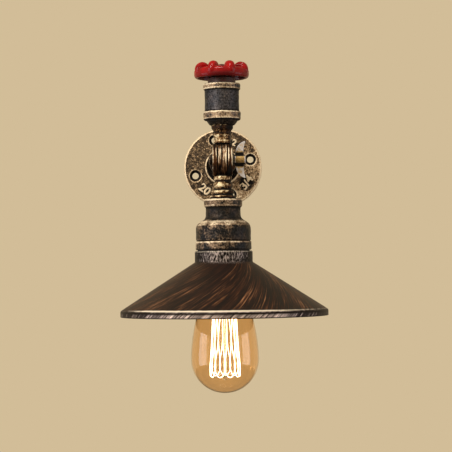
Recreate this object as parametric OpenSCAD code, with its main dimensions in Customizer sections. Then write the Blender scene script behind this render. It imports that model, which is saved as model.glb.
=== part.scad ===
// Rustic wall light made of pipe fittings, with an open filament lamp.
// The origin is the centre of the wall flange's back face. +Y goes into the wall, +Z is up, +X is right.
// The lamp stands off the wall on the -Y side, on a vertical axis, and tilts about the knuckle's bolt.
// Heights on the lamp's axis are counted from that bolt.

/* [Reach] */
// Distance from the wall to the lamp's axis
standoff = 120; // [116:1:150]

/* [Wall flange] */
// Diameter of the flange
flange_d = 79; // [76:1:92]
// Thickness of the flange at its edge
flange_edge_t = 4.5; // [3.5:0.5:6]
// Rise of the flange's face from its edge to the boss
flange_crown = 2; // [1:0.5:3]
// Diameter of the boss round the nipple
flange_boss_d = 36; // [32:0.5:38]
// Distance from the wall to the boss's end
flange_boss_h = 22; // [18:1:28]
// Depth of the cone sunk in the boss's end
flange_boss_sink = 5; // [2:0.5:8]
// Diameter of the circle through the four wall screws
screw_circle_d = 58; // [57:0.5:61]
// Diameter of each screw hole
screw_hole_d = 6.5; // [4:0.5:7]
// Diameter of each countersink
screw_head_d = 10.5; // [9:0.5:11.5]
// Turn of the first screw hole from the right-hand side
screw_turn = 16; // [0:1:45]

/* [Wall nipple] */
// Outer diameter of the pipe nipple
nipple_d = 21.3; // [19:0.1:22.5]
// Bore of the pipe nipple
nipple_bore = 16; // [12:0.5:17]
// Length of the nipple inside the fork's socket
nipple_grip = 16; // [10:1:20]
// Distance from the wall to the nipple's end
nipple_recess = 2; // [0.5:0.5:6]

/* [Knuckle] */
// Radius of the fork's ears and of the tongue
knuckle_r = 15; // [14.5:0.5:18]
// Thickness of each ear
ear_t = 4.2; // [3:0.2:6]
// Thickness of the tongue
tongue_t = 9.8; // [9.8:0.2:13]
// Height of the fork's arms close behind the ears
arm_h = 11; // [7:0.5:11]
// Distance from the bolt to the fork's web
web_back = 24; // [21:0.5:30]
// Thickness of the fork's web
web_t = 6; // [4:0.5:10]
// Outer diameter of the fork's socket
socket_d = 26; // [24.5:0.5:28]
// Diameter of the threaded studs above and below the tongue
stud_d = 9.7; // [8:0.1:9.8]

/* [Pivot bolt] */
// Diameter of the bolt
bolt_d = 6; // [5:0.5:7]
// Diameter of the bolt's round head
bolt_head_d = 10.5; // [9:0.5:13]
// Height of the bolt's head
bolt_head_h = 3.8; // [3:0.2:5]
// Size of the hexagon socket in the bolt's head
bolt_key = 4; // [3:0.5:5]
// Outer diameter of the plain washer
washer_d = 12.5; // [11:0.5:16]
// Thickness of the plain washer
washer_t = 1; // [0.8:0.1:2]
// Outer diameter of the spring washer
spring_washer_d = 10.8; // [10:0.2:12.5]
// Thickness of the spring washer
spring_washer_t = 1; // [0.8:0.1:2]

/* [Wing nut] */
// Diameter of the nut where it meets the washer
nut_base_d = 10; // [9:0.1:13]
// Diameter of the nut's outer end
nut_end_d = 8.8; // [8:0.2:11]
// Length of the nut's body
nut_h = 10.2; // [7:0.2:12]
// Distance from tip to tip of the wings
wing_span = 34.6; // [28:0.2:40]
// Thickness of the wings
wing_t = 3; // [2:0.2:4]
// Width of each wing at its root, along the bolt
wing_w = 7.6; // [5:0.2:9]

/* [Upper column] */
// Diameter of the upper neck
upper_neck_d = 15.5; // [14:0.1:17]
// Height of the upper neck below its rim
upper_neck_h = 13.8; // [12:0.2:20]
// Diameter of the upper neck's rim
upper_rim_d = 20.4; // [18:0.2:23]
// Height of the upper neck's rim
upper_rim_h = 3.6; // [2.5:0.1:6]
// Diameter of the upper bush at its foot
upper_bush_d = 24; // [21:0.5:26]
// Diameter of the upper bush under the coupling
upper_bush_top_d = 29; // [28:0.5:32]
// Height of the upper bush below the coupling
upper_bush_h = 4.5; // [3:0.5:7]
// Length of each thread inside the coupling
coupling_grip = 13; // [10:0.5:16]
// Diameter of the coupling's beads
coupling_bead_d = 35.2; // [34:0.2:38]
// Height of the coupling's beads
coupling_bead_h = 5.5; // [4:0.1:7]
// Height of the bead at the coupling's lower end
coupling_low_bead_h = 8; // [4:0.1:9]
// Diameter of the coupling between its beads
coupling_d = 32.5; // [31.5:0.1:33.5]
// Height of the coupling
coupling_h = 34.5; // [32.5:0.5:42]
// Bore of the coupling
coupling_bore = 26.4; // [25:0.1:27]

/* [Tap] */
// Height of the bonnet above the coupling
bonnet_rise = 5.8; // [4:0.2:10]
// Size of the gland nut across its flats
gland_af = 16; // [14:0.5:19]
// Height of the gland nut
gland_h = 4.6; // [3.5:0.2:6]
// Diameter of the tap's stem
stem_d = 8; // [7:0.5:9]
// Diameter of the stem's collar inside the bonnet
stem_collar_d = 11; // [10:0.5:13]
// Size of the stem's square end
stem_square = 5; // [4.4:0.1:5.6]

/* [Handwheel] */
// Diameter of the wheel's skirt
wheel_d = 51.6; // [50.8:0.2:54]
// Thickness of the skirt
wheel_skirt_t = 3; // [2:0.2:4]
// Thickness of the wheel between its lobes
wheel_web_t = 2.2; // [1.6:0.2:3]
// How far the wheel's skirt hangs below its seat
wheel_drop = 6; // [4:0.5:7]
// How far the rim between the lobes stands above the web
wheel_crown_h = 1.3; // [0.4:0.1:2]
// Diameter of the hub
wheel_hub_d = 17; // [14:0.5:20]
// Height of the hub
wheel_hub_h = 3.6; // [3:0.2:4.6]
// Number of lobes
lobe_count = 8; // [5:1:8]
// Radius of each round lobe, seen along the rim
lobe_r = 7.5; // [6.8:0.1:8]
// Distance from the stem to the middle of a lobe
lobe_reach = 19.3; // [18.4:0.1:20]
// Thickness of a lobe along the rim
lobe_t = 7.6; // [6.6:0.2:8.4]
// Diameter of the round dimple in each side of a lobe
eye_d = 4.6; // [3.6:0.2:6]
// Diameter of the washer under the wheel's screw
wheel_washer_d = 12; // [10:0.5:14]
// Thickness of the washer under the wheel's screw
wheel_washer_t = 1; // [0.6:0.1:1.4]
// Diameter of the wheel's screw
wheel_screw_d = 3; // [2.5:0.1:3.2]
// Diameter of the screw's head
wheel_screw_head_d = 7.6; // [6:0.2:9]
// Height of the screw's head
wheel_screw_head_h = 2.8; // [2:0.2:3.4]

/* [Lower column] */
// Diameter of the lower neck's collar, next to the knuckle
lower_collar_d = 17; // [16.2:0.2:19]
// Height of that collar
lower_collar_h = 4.2; // [3:0.2:6]
// Diameter of the lower neck's long bead
lower_bead_d = 18; // [17.2:0.2:20]
// Height of the long bead
lower_bead_h = 6.2; // [4:0.2:9]
// Diameter of the lower neck's ring
lower_ring_d = 21; // [20:0.2:23]
// Height of the ring
lower_ring_h = 3.1; // [2:0.1:5]
// Diameter of the lower neck in its grooves
lower_groove_d = 15.5; // [14:0.1:16]
// Height of each groove
lower_groove_h = 1.6; // [1:0.1:3]
// Diameter of the lower neck's foot
lower_foot_d = 19; // [17:0.2:20]
// Height of the foot
lower_foot_h = 2; // [1.5:0.1:4]
// Diameter of the lower bush's flange
lower_bush_d = 24.5; // [23.5:0.5:30]
// Height of the lower bush's flange
lower_bush_h = 2.8; // [2:0.2:5]
// Length of the lower bush's thread inside the reducer
lower_bush_grip = 11.2; // [8:0.2:14]

/* [Reducer] */
// Diameter of the reducer's top bead
reducer_top_d = 36; // [34.5:0.5:39]
// Height of the top bead
reducer_top_h = 7.7; // [5:0.1:9]
// Diameter of the reducer's waist
reducer_waist_d = 32.7; // [32:0.1:34]
// Height of the waist
reducer_waist_h = 9.8; // [7:0.1:13]
// Height of the shoulder that widens the waist to the body
reducer_shoulder_h = 8.2; // [6:0.1:12]
// Diameter of the reducer's body
reducer_body_d = 51.6; // [50:0.1:52]
// Height of the body
reducer_body_h = 13.3; // [10:0.1:18]
// Diameter of the bottom bead
reducer_foot_d = 52.4; // [52.2:0.1:54]
// Height of the bottom bead
reducer_foot_h = 8.2; // [6:0.1:11]
// Thickness of the reducer's wall at its waist
reducer_wall = 5.3; // [4.5:0.1:5.6]

/* [Shade] */
// Thickness of the gasket on top of the shade
gasket_t = 1; // [0.5:0.1:2]
// Width of the gasket, outwards from the reducer's mouth
gasket_w = 4; // [3:0.2:5]
// Diameter of the shade's straight neck
shade_neck_d = 54.4; // [53:0.2:58]
// Height of the straight neck
shade_neck_h = 10.5; // [8:0.5:16]
// Diameter of the shade's rim
shade_d = 195.2; // [180:1:215]
// Slope of the cone, down from the level
cone_angle = 32.6; // [26:0.2:38]
// Height of the rim below the cone
rim_h = 6.5; // [5:0.5:12]
// Thickness of the folded rim
rim_t = 1.8; // [1.4:0.1:2.4]
// Thickness of the shade's sheet
shade_t = 0.9; // [0.7:0.1:1.2]

/* [Lampholder] */
// Outer diameter of the lampholder
holder_d = 38; // [37:0.2:39.6]
// Distance from the shade's top to the lampholder's mouth
holder_drop = 26; // [20:0.5:30]
// Height of the sleeve
sleeve_h = 32; // [28:0.5:34]
// Thickness of the sleeve
sleeve_t = 1.6; // [1.2:0.1:2]
// Height of the cap above the sleeve
holder_cap_h = 14; // [12:0.5:16]
// Height of the core's solid top
core_h = 7; // [5:0.5:9]
// Thickness of the screw shell
shell_t = 0.5; // [0.3:0.1:0.8]
// Bore of the threaded tube
tube_bore = 7; // [5:0.2:7.6]
// Size of the tube's lock nut across its flats
tube_nut_af = 14; // [12.5:0.5:17]
// Height of the tube's lock nut
tube_nut_h = 3; // [2:0.2:5]
// Outer diameter of the shade ring
shade_ring_d = 48; // [44:0.5:50]
// Height of the shade ring
shade_ring_h = 6.4; // [5:0.2:8]

/* [Bulb] */
// Largest diameter of the glass
bulb_d = 64; // [60:0.5:70]
// Distance from the glass's widest place to the screw cap
bulb_shoulder_h = 79.4; // [70:0.2:90]
// Diameter of the screw cap
cap_d = 26.4; // [25.8:0.1:27]
// Height of the screw cap's shell
cap_h = 23; // [20:0.5:24]
// Height of the black insulator on the cap
insulator_h = 2.6; // [2:0.1:3.5]
// Height of the contact on the insulator
contact_h = 1.2; // [0.8:0.1:1.8]
// Thickness of the glass
glass_t = 0.8; // [0.5:0.1:1.2]
// Number of upright runs of the filament, which is even
filament_runs = 18; // [10:2:22]
// Diameter of the drawn filament
filament_d = 0.6; // [0.4:0.1:1]
// Diameter of the filament's cage at its top
cage_top_d = 20; // [16:0.5:24]
// Diameter of the filament's cage at its bottom
cage_bottom_d = 28; // [24:0.5:32]
// Height of the filament's cage
cage_h = 70; // [60:1:76]
// Distance from the glass's tip up to the filament's cage
cage_rise = 16; // [12:1:24]
// Diameter of the support wires
support_d = 0.7; // [0.5:0.1:1]

/* [Hidden] */

// Clearances: a screwed or pushed fit, a shaft that turns, two bodies that only pass each other,
// and the air round the lampholder in the reducer
screw_fit = 0.05;
turning_fit = 0.05;
passing_gap = 0.3;
holder_gap = 1.5;
ear_gap = 0.2;
nut_gap = 0.1;

// Small roundings and chamfers
edge_r = 0.6;
cast_r = 1.5;

// Fineness of the turned shapes
$fn = 96;

// Heights of the upper column, from the bolt up
neck_start = knuckle_r + passing_gap;
upper_rim_z = neck_start + upper_neck_h;
upper_bush_z = upper_rim_z + upper_rim_h;
coupling_z = upper_bush_z + upper_bush_h;
coupling_top = coupling_z + coupling_h;
bonnet_top = coupling_top + bonnet_rise;
gland_top = bonnet_top + gland_h;
wheel_seat = gland_top + 0.8;
wheel_low = wheel_seat - wheel_drop;
hub_top = wheel_seat + wheel_hub_h;

// Heights of the lower column, from the bolt down
lower_neck_h = lower_collar_h + lower_bead_h + lower_ring_h + lower_foot_h + 2 * lower_groove_h;
lower_bush_z = -neck_start - lower_neck_h;
reducer_z = lower_bush_z - lower_bush_h;
reducer_groove_h = 0.8;
reducer_h = reducer_top_h + reducer_waist_h + reducer_shoulder_h + reducer_body_h
    + reducer_groove_h + reducer_foot_h;
gasket_z = reducer_z - reducer_h;
shade_z = gasket_z - gasket_t;
mouth_z = shade_z - holder_drop;
sleeve_z = mouth_z + sleeve_h;
holder_top = sleeve_z + holder_cap_h;

// The studs on the tongue end inside the bushes, and the threaded tube takes over below
stud_r = stud_d / 2;
stud_bore_r = stud_r + screw_fit;
stud_top = coupling_z + 4;
stud_low = reducer_z - 2;
bush_low = reducer_z - lower_bush_grip;
tube_end = holder_top - 5;

// Radii that several pieces share
bolt_bore_r = bolt_d / 2 + turning_fit;
nipple_socket_r = nipple_d / 2 + screw_fit;
coupling_thread_r = coupling_bore / 2 - screw_fit;
reducer_bore_r = reducer_waist_d / 2 - reducer_wall;
reducer_mouth_r = holder_d / 2 + holder_gap;
gasket_r = reducer_mouth_r + gasket_w;
shell_r = cap_d / 2 + 0.1;
core_r = holder_d / 2 - sleeve_t - screw_fit;

// The shade's section: the rim is a quarter round where the cone turns down
rim_r = 2.8;
shade_hole_r = holder_d / 2 + 0.4;
cone_end_r = shade_d / 2 - rim_r + rim_r * sin(cone_angle);
cone_top = shade_z - shade_neck_h;
cone_end = cone_top - (cone_end_r - shade_neck_d / 2) * tan(cone_angle);
rim_low = cone_end - rim_h;

// Heights of the bulb
contact_z = sleeve_z - 1.2;
insulator_z = contact_z - contact_h;
cap_z = insulator_z - insulator_h;
cap_low = cap_z - cap_h;
bulb_mid = cap_low - bulb_shoulder_h;
bulb_tip = bulb_mid - bulb_d / 2;
cage_low = bulb_tip + cage_rise;
cage_top = cage_low + cage_h;
rod_r = 1.7;

// The outer side of a turned ring, with its two edges rounded by c in steps of the given angle
function ring_side(r, low, high, c, step = 30) = concat(
    [for (a = [-90:step:0]) [r - c + c * cos(a), low + c + c * sin(a)]],
    [for (a = [0:step:90]) [r - c + c * cos(a), high - c + c * sin(a)]]
);

// A half-round bead that swells from radius r to radius top, centred on height z
function bead(r, top, z, half) = [for (a = [-90:22.5:90]) [r + (top - r) * cos(a), z + half * sin(a)]];

// A smooth step from radius a at height za to radius b at height zb
function swell(a, za, b, zb) =
    [for (t = [0:0.125:1]) [a + (b - a) * (1 - cos(180 * t)) / 2, za + (zb - za) * t]];

// One point of a curve that leaves p towards q and reaches s coming from r
function eased(p, q, r, s, t) =
    pow(1 - t, 3) * p + 3 * pow(1 - t, 2) * t * q + 3 * (1 - t) * t * t * r + pow(t, 3) * s;

module on_lamp_axis() {
    translate([0, -standoff, 0]) children();
}

module turned(outline) {
    on_lamp_axis() rotate_extrude() polygon(outline);
}

// A turned shape whose axis runs from the wall to the room; its heights are distances from the wall
module turned_from_wall(outline) {
    rotate([90, 0, 0]) rotate_extrude() polygon(outline);
}

// A turned shape on the bolt's axis; its heights are places along +X
module turned_on_bolt(outline) {
    on_lamp_axis() rotate([0, 90, 0]) rotate_extrude() polygon(outline);
}

module bolt_hole(d, from, to) {
    on_lamp_axis() translate([from, 0, 0]) rotate([0, 90, 0]) cylinder(d = d, h = to - from);
}

// Wall side

flange_r = flange_d / 2;
flange_boss_r = flange_boss_d / 2;
plate_t = flange_edge_t + flange_crown;
boss_foot_r = 3;

module wall_flange() {
    sink = (screw_head_d - screw_hole_d) / 2;
    color("#a8905f") difference() {
        turned_from_wall(concat(
            [[nipple_socket_r, 0], [flange_r - edge_r, 0], [flange_r, edge_r]],
            [for (a = [0:30:90]) [flange_r - cast_r + cast_r * cos(a), flange_edge_t - cast_r + cast_r * sin(a)]],
            [for (a = [0:22.5:90])
                [flange_boss_r + boss_foot_r - boss_foot_r * sin(a), plate_t + boss_foot_r - boss_foot_r * cos(a)]],
            [for (a = [0:30:90])
                [flange_boss_r - cast_r + cast_r * cos(a), flange_boss_h - cast_r + cast_r * sin(a)]],
            [[nipple_socket_r, flange_boss_h - flange_boss_sink]]
        ));
        for (i = [0:3])
            rotate([0, -screw_turn - 90 * i, 0]) translate([screw_circle_d / 2, 0, 0]) rotate([90, 0, 0]) {
                translate([0, 0, -1]) cylinder(d = screw_hole_d, h = plate_t + 2);
                translate([0, 0, flange_edge_t - sink])
                    cylinder(d1 = screw_hole_d, d2 = screw_head_d + 2 * flange_crown, h = sink + flange_crown);
            }
    }
}

fork_socket_floor = web_back + web_t;
fork_back = fork_socket_floor + nipple_grip;

module wall_nipple() {
    length = standoff - fork_socket_floor - nipple_recess;
    color("#7d6a48") translate([0, -nipple_recess, 0]) turned_from_wall([
        [nipple_bore / 2, 0],
        [nipple_d / 2, 0],
        [nipple_d / 2, length],
        [nipple_bore / 2, length]
    ]);
}

ear_in = tongue_t / 2 + ear_gap;
ear_out = ear_in + ear_t;
arm_flare_h = socket_d - 4;

// Outline of one ear and its arm, seen from the side: x is the distance behind the bolt
module ear_outline() {
    flare_start = knuckle_r + 0.5;
    flare_end = web_back - 2;
    circle(r = knuckle_r);
    polygon([
        [0, -arm_h / 2],
        [flare_start, -arm_h / 2],
        [flare_end, -arm_flare_h / 2 + 1],
        [web_back + web_t, -arm_flare_h / 2],
        [web_back + web_t, arm_flare_h / 2],
        [flare_end, arm_flare_h / 2 - 1],
        [flare_start, arm_h / 2],
        [0, arm_h / 2]
    ]);
}

module fork() {
    color("#7a5a3e") difference() {
        union() {
            on_lamp_axis() for (side = [-ear_out, ear_in])
                translate([side, 0, 0]) rotate([90, 0, 90]) linear_extrude(ear_t) ear_outline();
            on_lamp_axis() translate([-ear_out, web_back, -arm_flare_h / 2])
                cube([2 * ear_out, web_t, arm_flare_h]);
            on_lamp_axis() translate([0, fork_back, 0]) rotate([90, 0, 0]) rotate_extrude() polygon(concat(
                [[0, 0]],
                ring_side(socket_d / 2, 0, nipple_grip + web_t - 1, 1),
                [[0, nipple_grip + web_t - 1]]
            ));
        }
        on_lamp_axis() translate([0, fork_back + 1, 0]) rotate([90, 0, 0])
            cylinder(r = nipple_socket_r, h = nipple_grip + 1);
        bolt_hole(2 * bolt_bore_r, -ear_out - 1, ear_out + 1);
    }
}

washer_x = ear_out;
spring_x = washer_x + washer_t;
nut_x = spring_x + spring_washer_t + nut_gap;
bolt_end = nut_x + nut_h + 1;

module pivot_bolt() {
    crown = 1.4;
    color("#6b5138") difference() {
        turned_on_bolt([
            [0, -ear_out - bolt_head_h],
            [bolt_head_d / 2 - 2 * crown, -ear_out - bolt_head_h],
            [bolt_head_d / 2 - crown / 2, -ear_out - bolt_head_h + crown],
            [bolt_head_d / 2, -ear_out - bolt_head_h + 2 * crown],
            [bolt_head_d / 2, -ear_out],
            [bolt_d / 2, -ear_out],
            [bolt_d / 2, bolt_end - edge_r],
            [bolt_d / 2 - edge_r, bolt_end],
            [0, bolt_end]
        ]);
        on_lamp_axis() translate([-ear_out - bolt_head_h - 1, 0, 0]) rotate([0, 90, 0])
            cylinder(d = bolt_key / cos(30), h = bolt_head_h - 0.6, $fn = 6);
    }
}

module flat_washer(from, d, t) {
    turned_on_bolt([
        [bolt_bore_r, from],
        [d / 2, from],
        [d / 2, from + t],
        [bolt_bore_r, from + t]
    ]);
}

module plain_washer() {
    color("#9c948a") flat_washer(washer_x, washer_d, washer_t);
}

// The spring washer is split at the top
module spring_washer() {
    split = 1.2;
    color("#8b857c") difference() {
        flat_washer(spring_x, spring_washer_d, spring_washer_t);
        on_lamp_axis() translate([spring_x - 1, -split / 2, 0])
            cube([spring_washer_t + 2, split, spring_washer_d]);
    }
}

// Outline of both wings: x is along the bolt, y is up. Each wing is a crescent whose back bends
// round from the root to a blunt tip, level with the nut's outer end.
module wing_outline() {
    tip = wing_span / 2;
    root = nut_end_d / 2 - 1;
    back = nut_x + 0.6;
    front = back + wing_w;
    tip_x = nut_x + nut_h - 0.9;
    for (way = [-1, 1]) scale([1, way]) polygon(concat(
        [for (t = [0:0.125:1]) eased([back, root], [back - 0.2, 0.6 * tip], [back + 2.4, 0.86 * tip],
            [tip_x - 0.4, tip], t)],
        [[tip_x + 0.5, tip], [tip_x + 0.9, tip - 0.6]],
        [for (t = [0.125:0.125:1]) eased([tip_x + 0.9, tip - 0.6], [tip_x - 0.6, 0.8 * tip],
            [front, 0.62 * tip], [front, root], t)]
    ));
}

module wing_nut() {
    color("#b9ad97") difference() {
        union() {
            turned_on_bolt([
                [0, nut_x],
                [nut_base_d / 2 - 0.4, nut_x],
                [nut_base_d / 2, nut_x + 0.4],
                [nut_base_d / 2 - 0.3, nut_x + 2],
                [nut_end_d / 2, nut_x + nut_h - 0.6],
                [nut_end_d / 2 - 0.6, nut_x + nut_h],
                [0, nut_x + nut_h]
            ]);
            on_lamp_axis() translate([0, wing_t / 2, 0]) rotate([90, 0, 0])
                linear_extrude(wing_t) wing_outline();
        }
        bolt_hole(2 * bolt_bore_r, nut_x - 1, nut_x + nut_h + 2);
    }
}

// Lamp side, upper column

module tongue() {
    color("#8a6743") difference() {
        union() {
            on_lamp_axis() translate([-tongue_t / 2, 0, 0]) rotate([0, 90, 0])
                cylinder(r = knuckle_r, h = tongue_t);
            on_lamp_axis() translate([0, 0, stud_low]) cylinder(d = stud_d, h = stud_top - stud_low);
        }
        bolt_hole(2 * bolt_bore_r, -tongue_t / 2 - 1, tongue_t / 2 + 1);
    }
}

module upper_neck() {
    r = upper_neck_d / 2;
    bead_r = r + 0.5;
    color("#a5804f") turned(concat(
        [[stud_bore_r, neck_start], [r, neck_start]],
        bead(r, bead_r, neck_start + 1.8, 1),
        [[r - 0.3, neck_start + 4.7]],
        bead(r, bead_r, neck_start + 7.8, 1),
        swell(r + 0.2, neck_start + 9.6, upper_rim_d / 2 - 0.4, upper_rim_z),
        ring_side(upper_rim_d / 2, upper_rim_z + 0.2, upper_bush_z, edge_r),
        [[stud_bore_r, upper_bush_z]]
    ));
}

module upper_bush() {
    grip_top = coupling_z + coupling_grip;
    color("#3f3126") turned([
        [stud_bore_r, upper_bush_z],
        [upper_bush_d / 2, upper_bush_z],
        [upper_bush_top_d / 2, coupling_z - 0.8],
        [upper_bush_top_d / 2, coupling_z],
        [coupling_thread_r, coupling_z],
        [coupling_thread_r, grip_top - 1],
        [coupling_thread_r - 1, grip_top],
        [stud_bore_r, grip_top]
    ]);
}

module coupling() {
    bead_r = coupling_bead_d / 2;
    body_r = coupling_d / 2;
    low_bead = coupling_z + coupling_low_bead_h;
    high_bead = coupling_top - coupling_bead_h;
    color("#4a423c") turned(concat(
        [[coupling_bore / 2, coupling_z]],
        ring_side(bead_r, coupling_z, low_bead, 1.1),
        [[body_r, low_bead + 0.5], [body_r - 0.25, (low_bead + high_bead) / 2], [body_r, high_bead - 0.5]],
        ring_side(bead_r, high_bead, coupling_top, 1.1),
        [[coupling_bore / 2, coupling_top]]
    ));
}

stem_r = stem_d / 2;
collar_top = bonnet_top - turning_fit;
collar_low = collar_top - 3;
stem_foot = collar_low - 8;

module bonnet() {
    low = coupling_top - coupling_grip;
    color("#2d2723") turned([
        [0, low],
        [coupling_thread_r - 1, low],
        [coupling_thread_r, low + 1],
        [coupling_thread_r, bonnet_top - 0.8],
        [coupling_thread_r - 0.8, bonnet_top],
        [stem_collar_d / 2 + turning_fit, bonnet_top],
        [stem_collar_d / 2 + turning_fit, collar_low - turning_fit],
        [stem_r + turning_fit, collar_low - turning_fit],
        [stem_r + turning_fit, stem_foot - turning_fit],
        [0, stem_foot - turning_fit]
    ]);
}

module gland_nut() {
    color("#8f6f3e") on_lamp_axis() difference() {
        translate([0, 0, bonnet_top]) cylinder(d = gland_af / cos(30), h = gland_h, $fn = 6);
        translate([0, 0, bonnet_top - 1]) cylinder(r = stem_r + turning_fit, h = gland_h + 2);
    }
}

module tap_stem() {
    square_top = hub_top - 0.4;
    color("#a08248") difference() {
        union() {
            turned([
                [0, stem_foot],
                [stem_r, stem_foot],
                [stem_r, collar_low],
                [stem_collar_d / 2, collar_low],
                [stem_collar_d / 2, collar_top],
                [stem_r, collar_top],
                [stem_r, wheel_seat],
                [0, wheel_seat]
            ]);
            on_lamp_axis() translate([-stem_square / 2, -stem_square / 2, wheel_seat - 1])
                cube([stem_square, stem_square, square_top - wheel_seat + 1]);
        }
        on_lamp_axis() translate([0, 0, square_top - 10])
            cylinder(r = wheel_screw_d / 2 + screw_fit, h = 11);
    }
}

wheel_r = wheel_d / 2;
lobe_mid_z = wheel_seat + 1.3;
web_top = wheel_seat - 0.4 + wheel_web_t;

// A round lobe with softened edges and a dimple in the middle of each side; it turns about the rim's direction
module lobe() {
    half = lobe_t / 2;
    soft = 2.8;
    eye_r = eye_d / 2;
    dimple = 0.9;
    translate([lobe_reach, 0, lobe_mid_z]) rotate([90, 0, 0]) rotate_extrude() polygon(concat(
        [[0, dimple - half], [eye_r - 0.7, dimple - half], [eye_r, -half]],
        ring_side(lobe_r, -half, half, soft, 45),
        [[eye_r, half], [eye_r - 0.7, half - dimple], [0, half - dimple]]
    ));
}

module handwheel() {
    hub_r = wheel_hub_d / 2;
    hollow_r = wheel_r - wheel_skirt_t;
    color("#b5121a") on_lamp_axis() difference() {
        union() {
            rotate_extrude() polygon([
                [0, wheel_low],
                [wheel_r - 1.8, wheel_low],
                [wheel_r - 0.6, wheel_low + 0.9],
                [wheel_r, wheel_low + 2.6],
                [wheel_r, web_top + wheel_crown_h - 2.5],
                [wheel_r - 0.8, web_top + wheel_crown_h - 0.9],
                [wheel_r - 2.2, web_top + wheel_crown_h],
                [wheel_r - 4, web_top + wheel_crown_h],
                [wheel_r - 6, web_top],
                [hub_r + 2, web_top],
                [hub_r, hub_top - 0.6],
                [hub_r - 0.8, hub_top],
                [0, hub_top]
            ]);
            for (i = [0:lobe_count - 1]) rotate([0, 0, (i + 0.5) * 360 / lobe_count]) lobe();
        }
        rotate_extrude() polygon([
            [0, wheel_low - 10],
            [wheel_r + 10, wheel_low - 10],
            [wheel_r + 10, wheel_low],
            [hollow_r, wheel_low],
            [hollow_r - 0.6, wheel_seat - 1.2],
            [hub_r + 2, wheel_seat],
            [0, wheel_seat]
        ]);
        translate([-stem_square / 2 - turning_fit, -stem_square / 2 - turning_fit, wheel_seat - 1])
            cube([stem_square + 2 * turning_fit, stem_square + 2 * turning_fit, wheel_hub_h + 2]);
    }
}

module wheel_washer() {
    color("#8b857c") turned([
        [wheel_screw_d / 2 + screw_fit, hub_top],
        [wheel_washer_d / 2, hub_top],
        [wheel_washer_d / 2, hub_top + wheel_washer_t],
        [wheel_screw_d / 2 + screw_fit, hub_top + wheel_washer_t]
    ]);
}

module wheel_screw() {
    head = hub_top + wheel_washer_t;
    slot = 1;
    color("#8b857c") difference() {
        turned([
            [0, head - 8],
            [wheel_screw_d / 2, head - 8],
            [wheel_screw_d / 2, head],
            [wheel_screw_head_d / 2, head],
            [wheel_screw_head_d / 2, head + wheel_screw_head_h - 1],
            [wheel_screw_head_d / 2 - 1.4, head + wheel_screw_head_h],
            [0, head + wheel_screw_head_h]
        ]);
        on_lamp_axis() translate([-wheel_screw_head_d, -slot / 2, head + wheel_screw_head_h - 1.2])
            cube([2 * wheel_screw_head_d, slot, 2]);
    }
}

// Lamp side, lower column

module lower_neck() {
    groove = lower_groove_d / 2;
    foot_top = lower_bush_z + lower_foot_h;
    ring_top = foot_top + lower_ring_h;
    bead_low = ring_top + lower_groove_h;
    bead_top = bead_low + lower_bead_h;
    collar_bottom = bead_top + lower_groove_h;
    color("#b08c56") turned(concat(
        [[stud_bore_r, lower_bush_z], [lower_foot_d / 2, lower_bush_z], [lower_foot_d / 2, foot_top]],
        ring_side(lower_ring_d / 2, foot_top, ring_top, 1.2),
        [[groove + 0.5, ring_top + 0.3], [groove + 0.5, bead_low - 0.2]],
        bead(groove + 0.4, lower_bead_d / 2, (bead_low + bead_top) / 2, lower_bead_h / 2),
        [[groove, bead_top + 0.3], [groove, collar_bottom - 0.2]],
        bead(groove + 0.1, lower_collar_d / 2, (collar_bottom - neck_start) / 2, lower_collar_h / 2),
        [[stud_bore_r, -neck_start]]
    ));
}

module lower_bush() {
    thread_r = reducer_bore_r - screw_fit;
    color("#9b7a49") turned(concat(
        [[stud_bore_r, bush_low], [thread_r - 1, bush_low], [thread_r, bush_low + 1], [thread_r, reducer_z]],
        ring_side(lower_bush_d / 2, reducer_z, lower_bush_z, edge_r),
        [[stud_bore_r, lower_bush_z]]
    ));
}

module reducer() {
    foot_top = gasket_z + reducer_foot_h;
    body_low = foot_top + reducer_groove_h;
    body_top = body_low + reducer_body_h;
    waist_low = body_top + reducer_shoulder_h;
    waist_top = waist_low + reducer_waist_h;
    body_r = reducer_body_d / 2;
    waist_r = reducer_waist_d / 2;
    color("#a98a63") turned(concat(
        [[reducer_mouth_r, gasket_z]],
        ring_side(reducer_foot_d / 2, gasket_z, foot_top, 1.2),
        [[body_r - 0.7, foot_top + 0.1], [body_r - 0.7, body_low - 0.1], [body_r, body_low + 0.5]],
        swell(body_r, body_top, waist_r, waist_low),
        [[waist_r, waist_top - 0.1]],
        ring_side(reducer_top_d / 2, waist_top, reducer_z, 1.4),
        [[reducer_bore_r, reducer_z]],
        swell(reducer_bore_r, waist_low, reducer_mouth_r, body_top)
    ));
}

module threaded_tube() {
    tube_top = stud_low - passing_gap;
    color("#a08248") turned([
        [tube_bore / 2, tube_end],
        [stud_r, tube_end],
        [stud_r, tube_top],
        [tube_bore / 2, tube_top]
    ]);
}

module tube_nut() {
    color("#9c948a") on_lamp_axis() difference() {
        translate([0, 0, bush_low - tube_nut_h]) cylinder(d = tube_nut_af / cos(30), h = tube_nut_h, $fn = 6);
        translate([0, 0, bush_low - tube_nut_h - 1]) cylinder(r = stud_bore_r, h = tube_nut_h + 2);
    }
}

// Lampholder

holder_r = holder_d / 2;
cap_wall = 2;

module holder_cap() {
    collar_r = stud_r + 2.5;
    color("#2b2623") turned([
        [stud_bore_r, holder_top - cap_wall],
        [holder_r - cap_wall, holder_top - cap_wall],
        [holder_r - cap_wall, sleeve_z],
        [holder_r, sleeve_z],
        [holder_r, holder_top - 2],
        [holder_r - 2, holder_top],
        [collar_r, holder_top],
        [collar_r, holder_top + 4],
        [stud_bore_r, holder_top + 4]
    ]);
}

core_skirt = 20;

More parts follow.
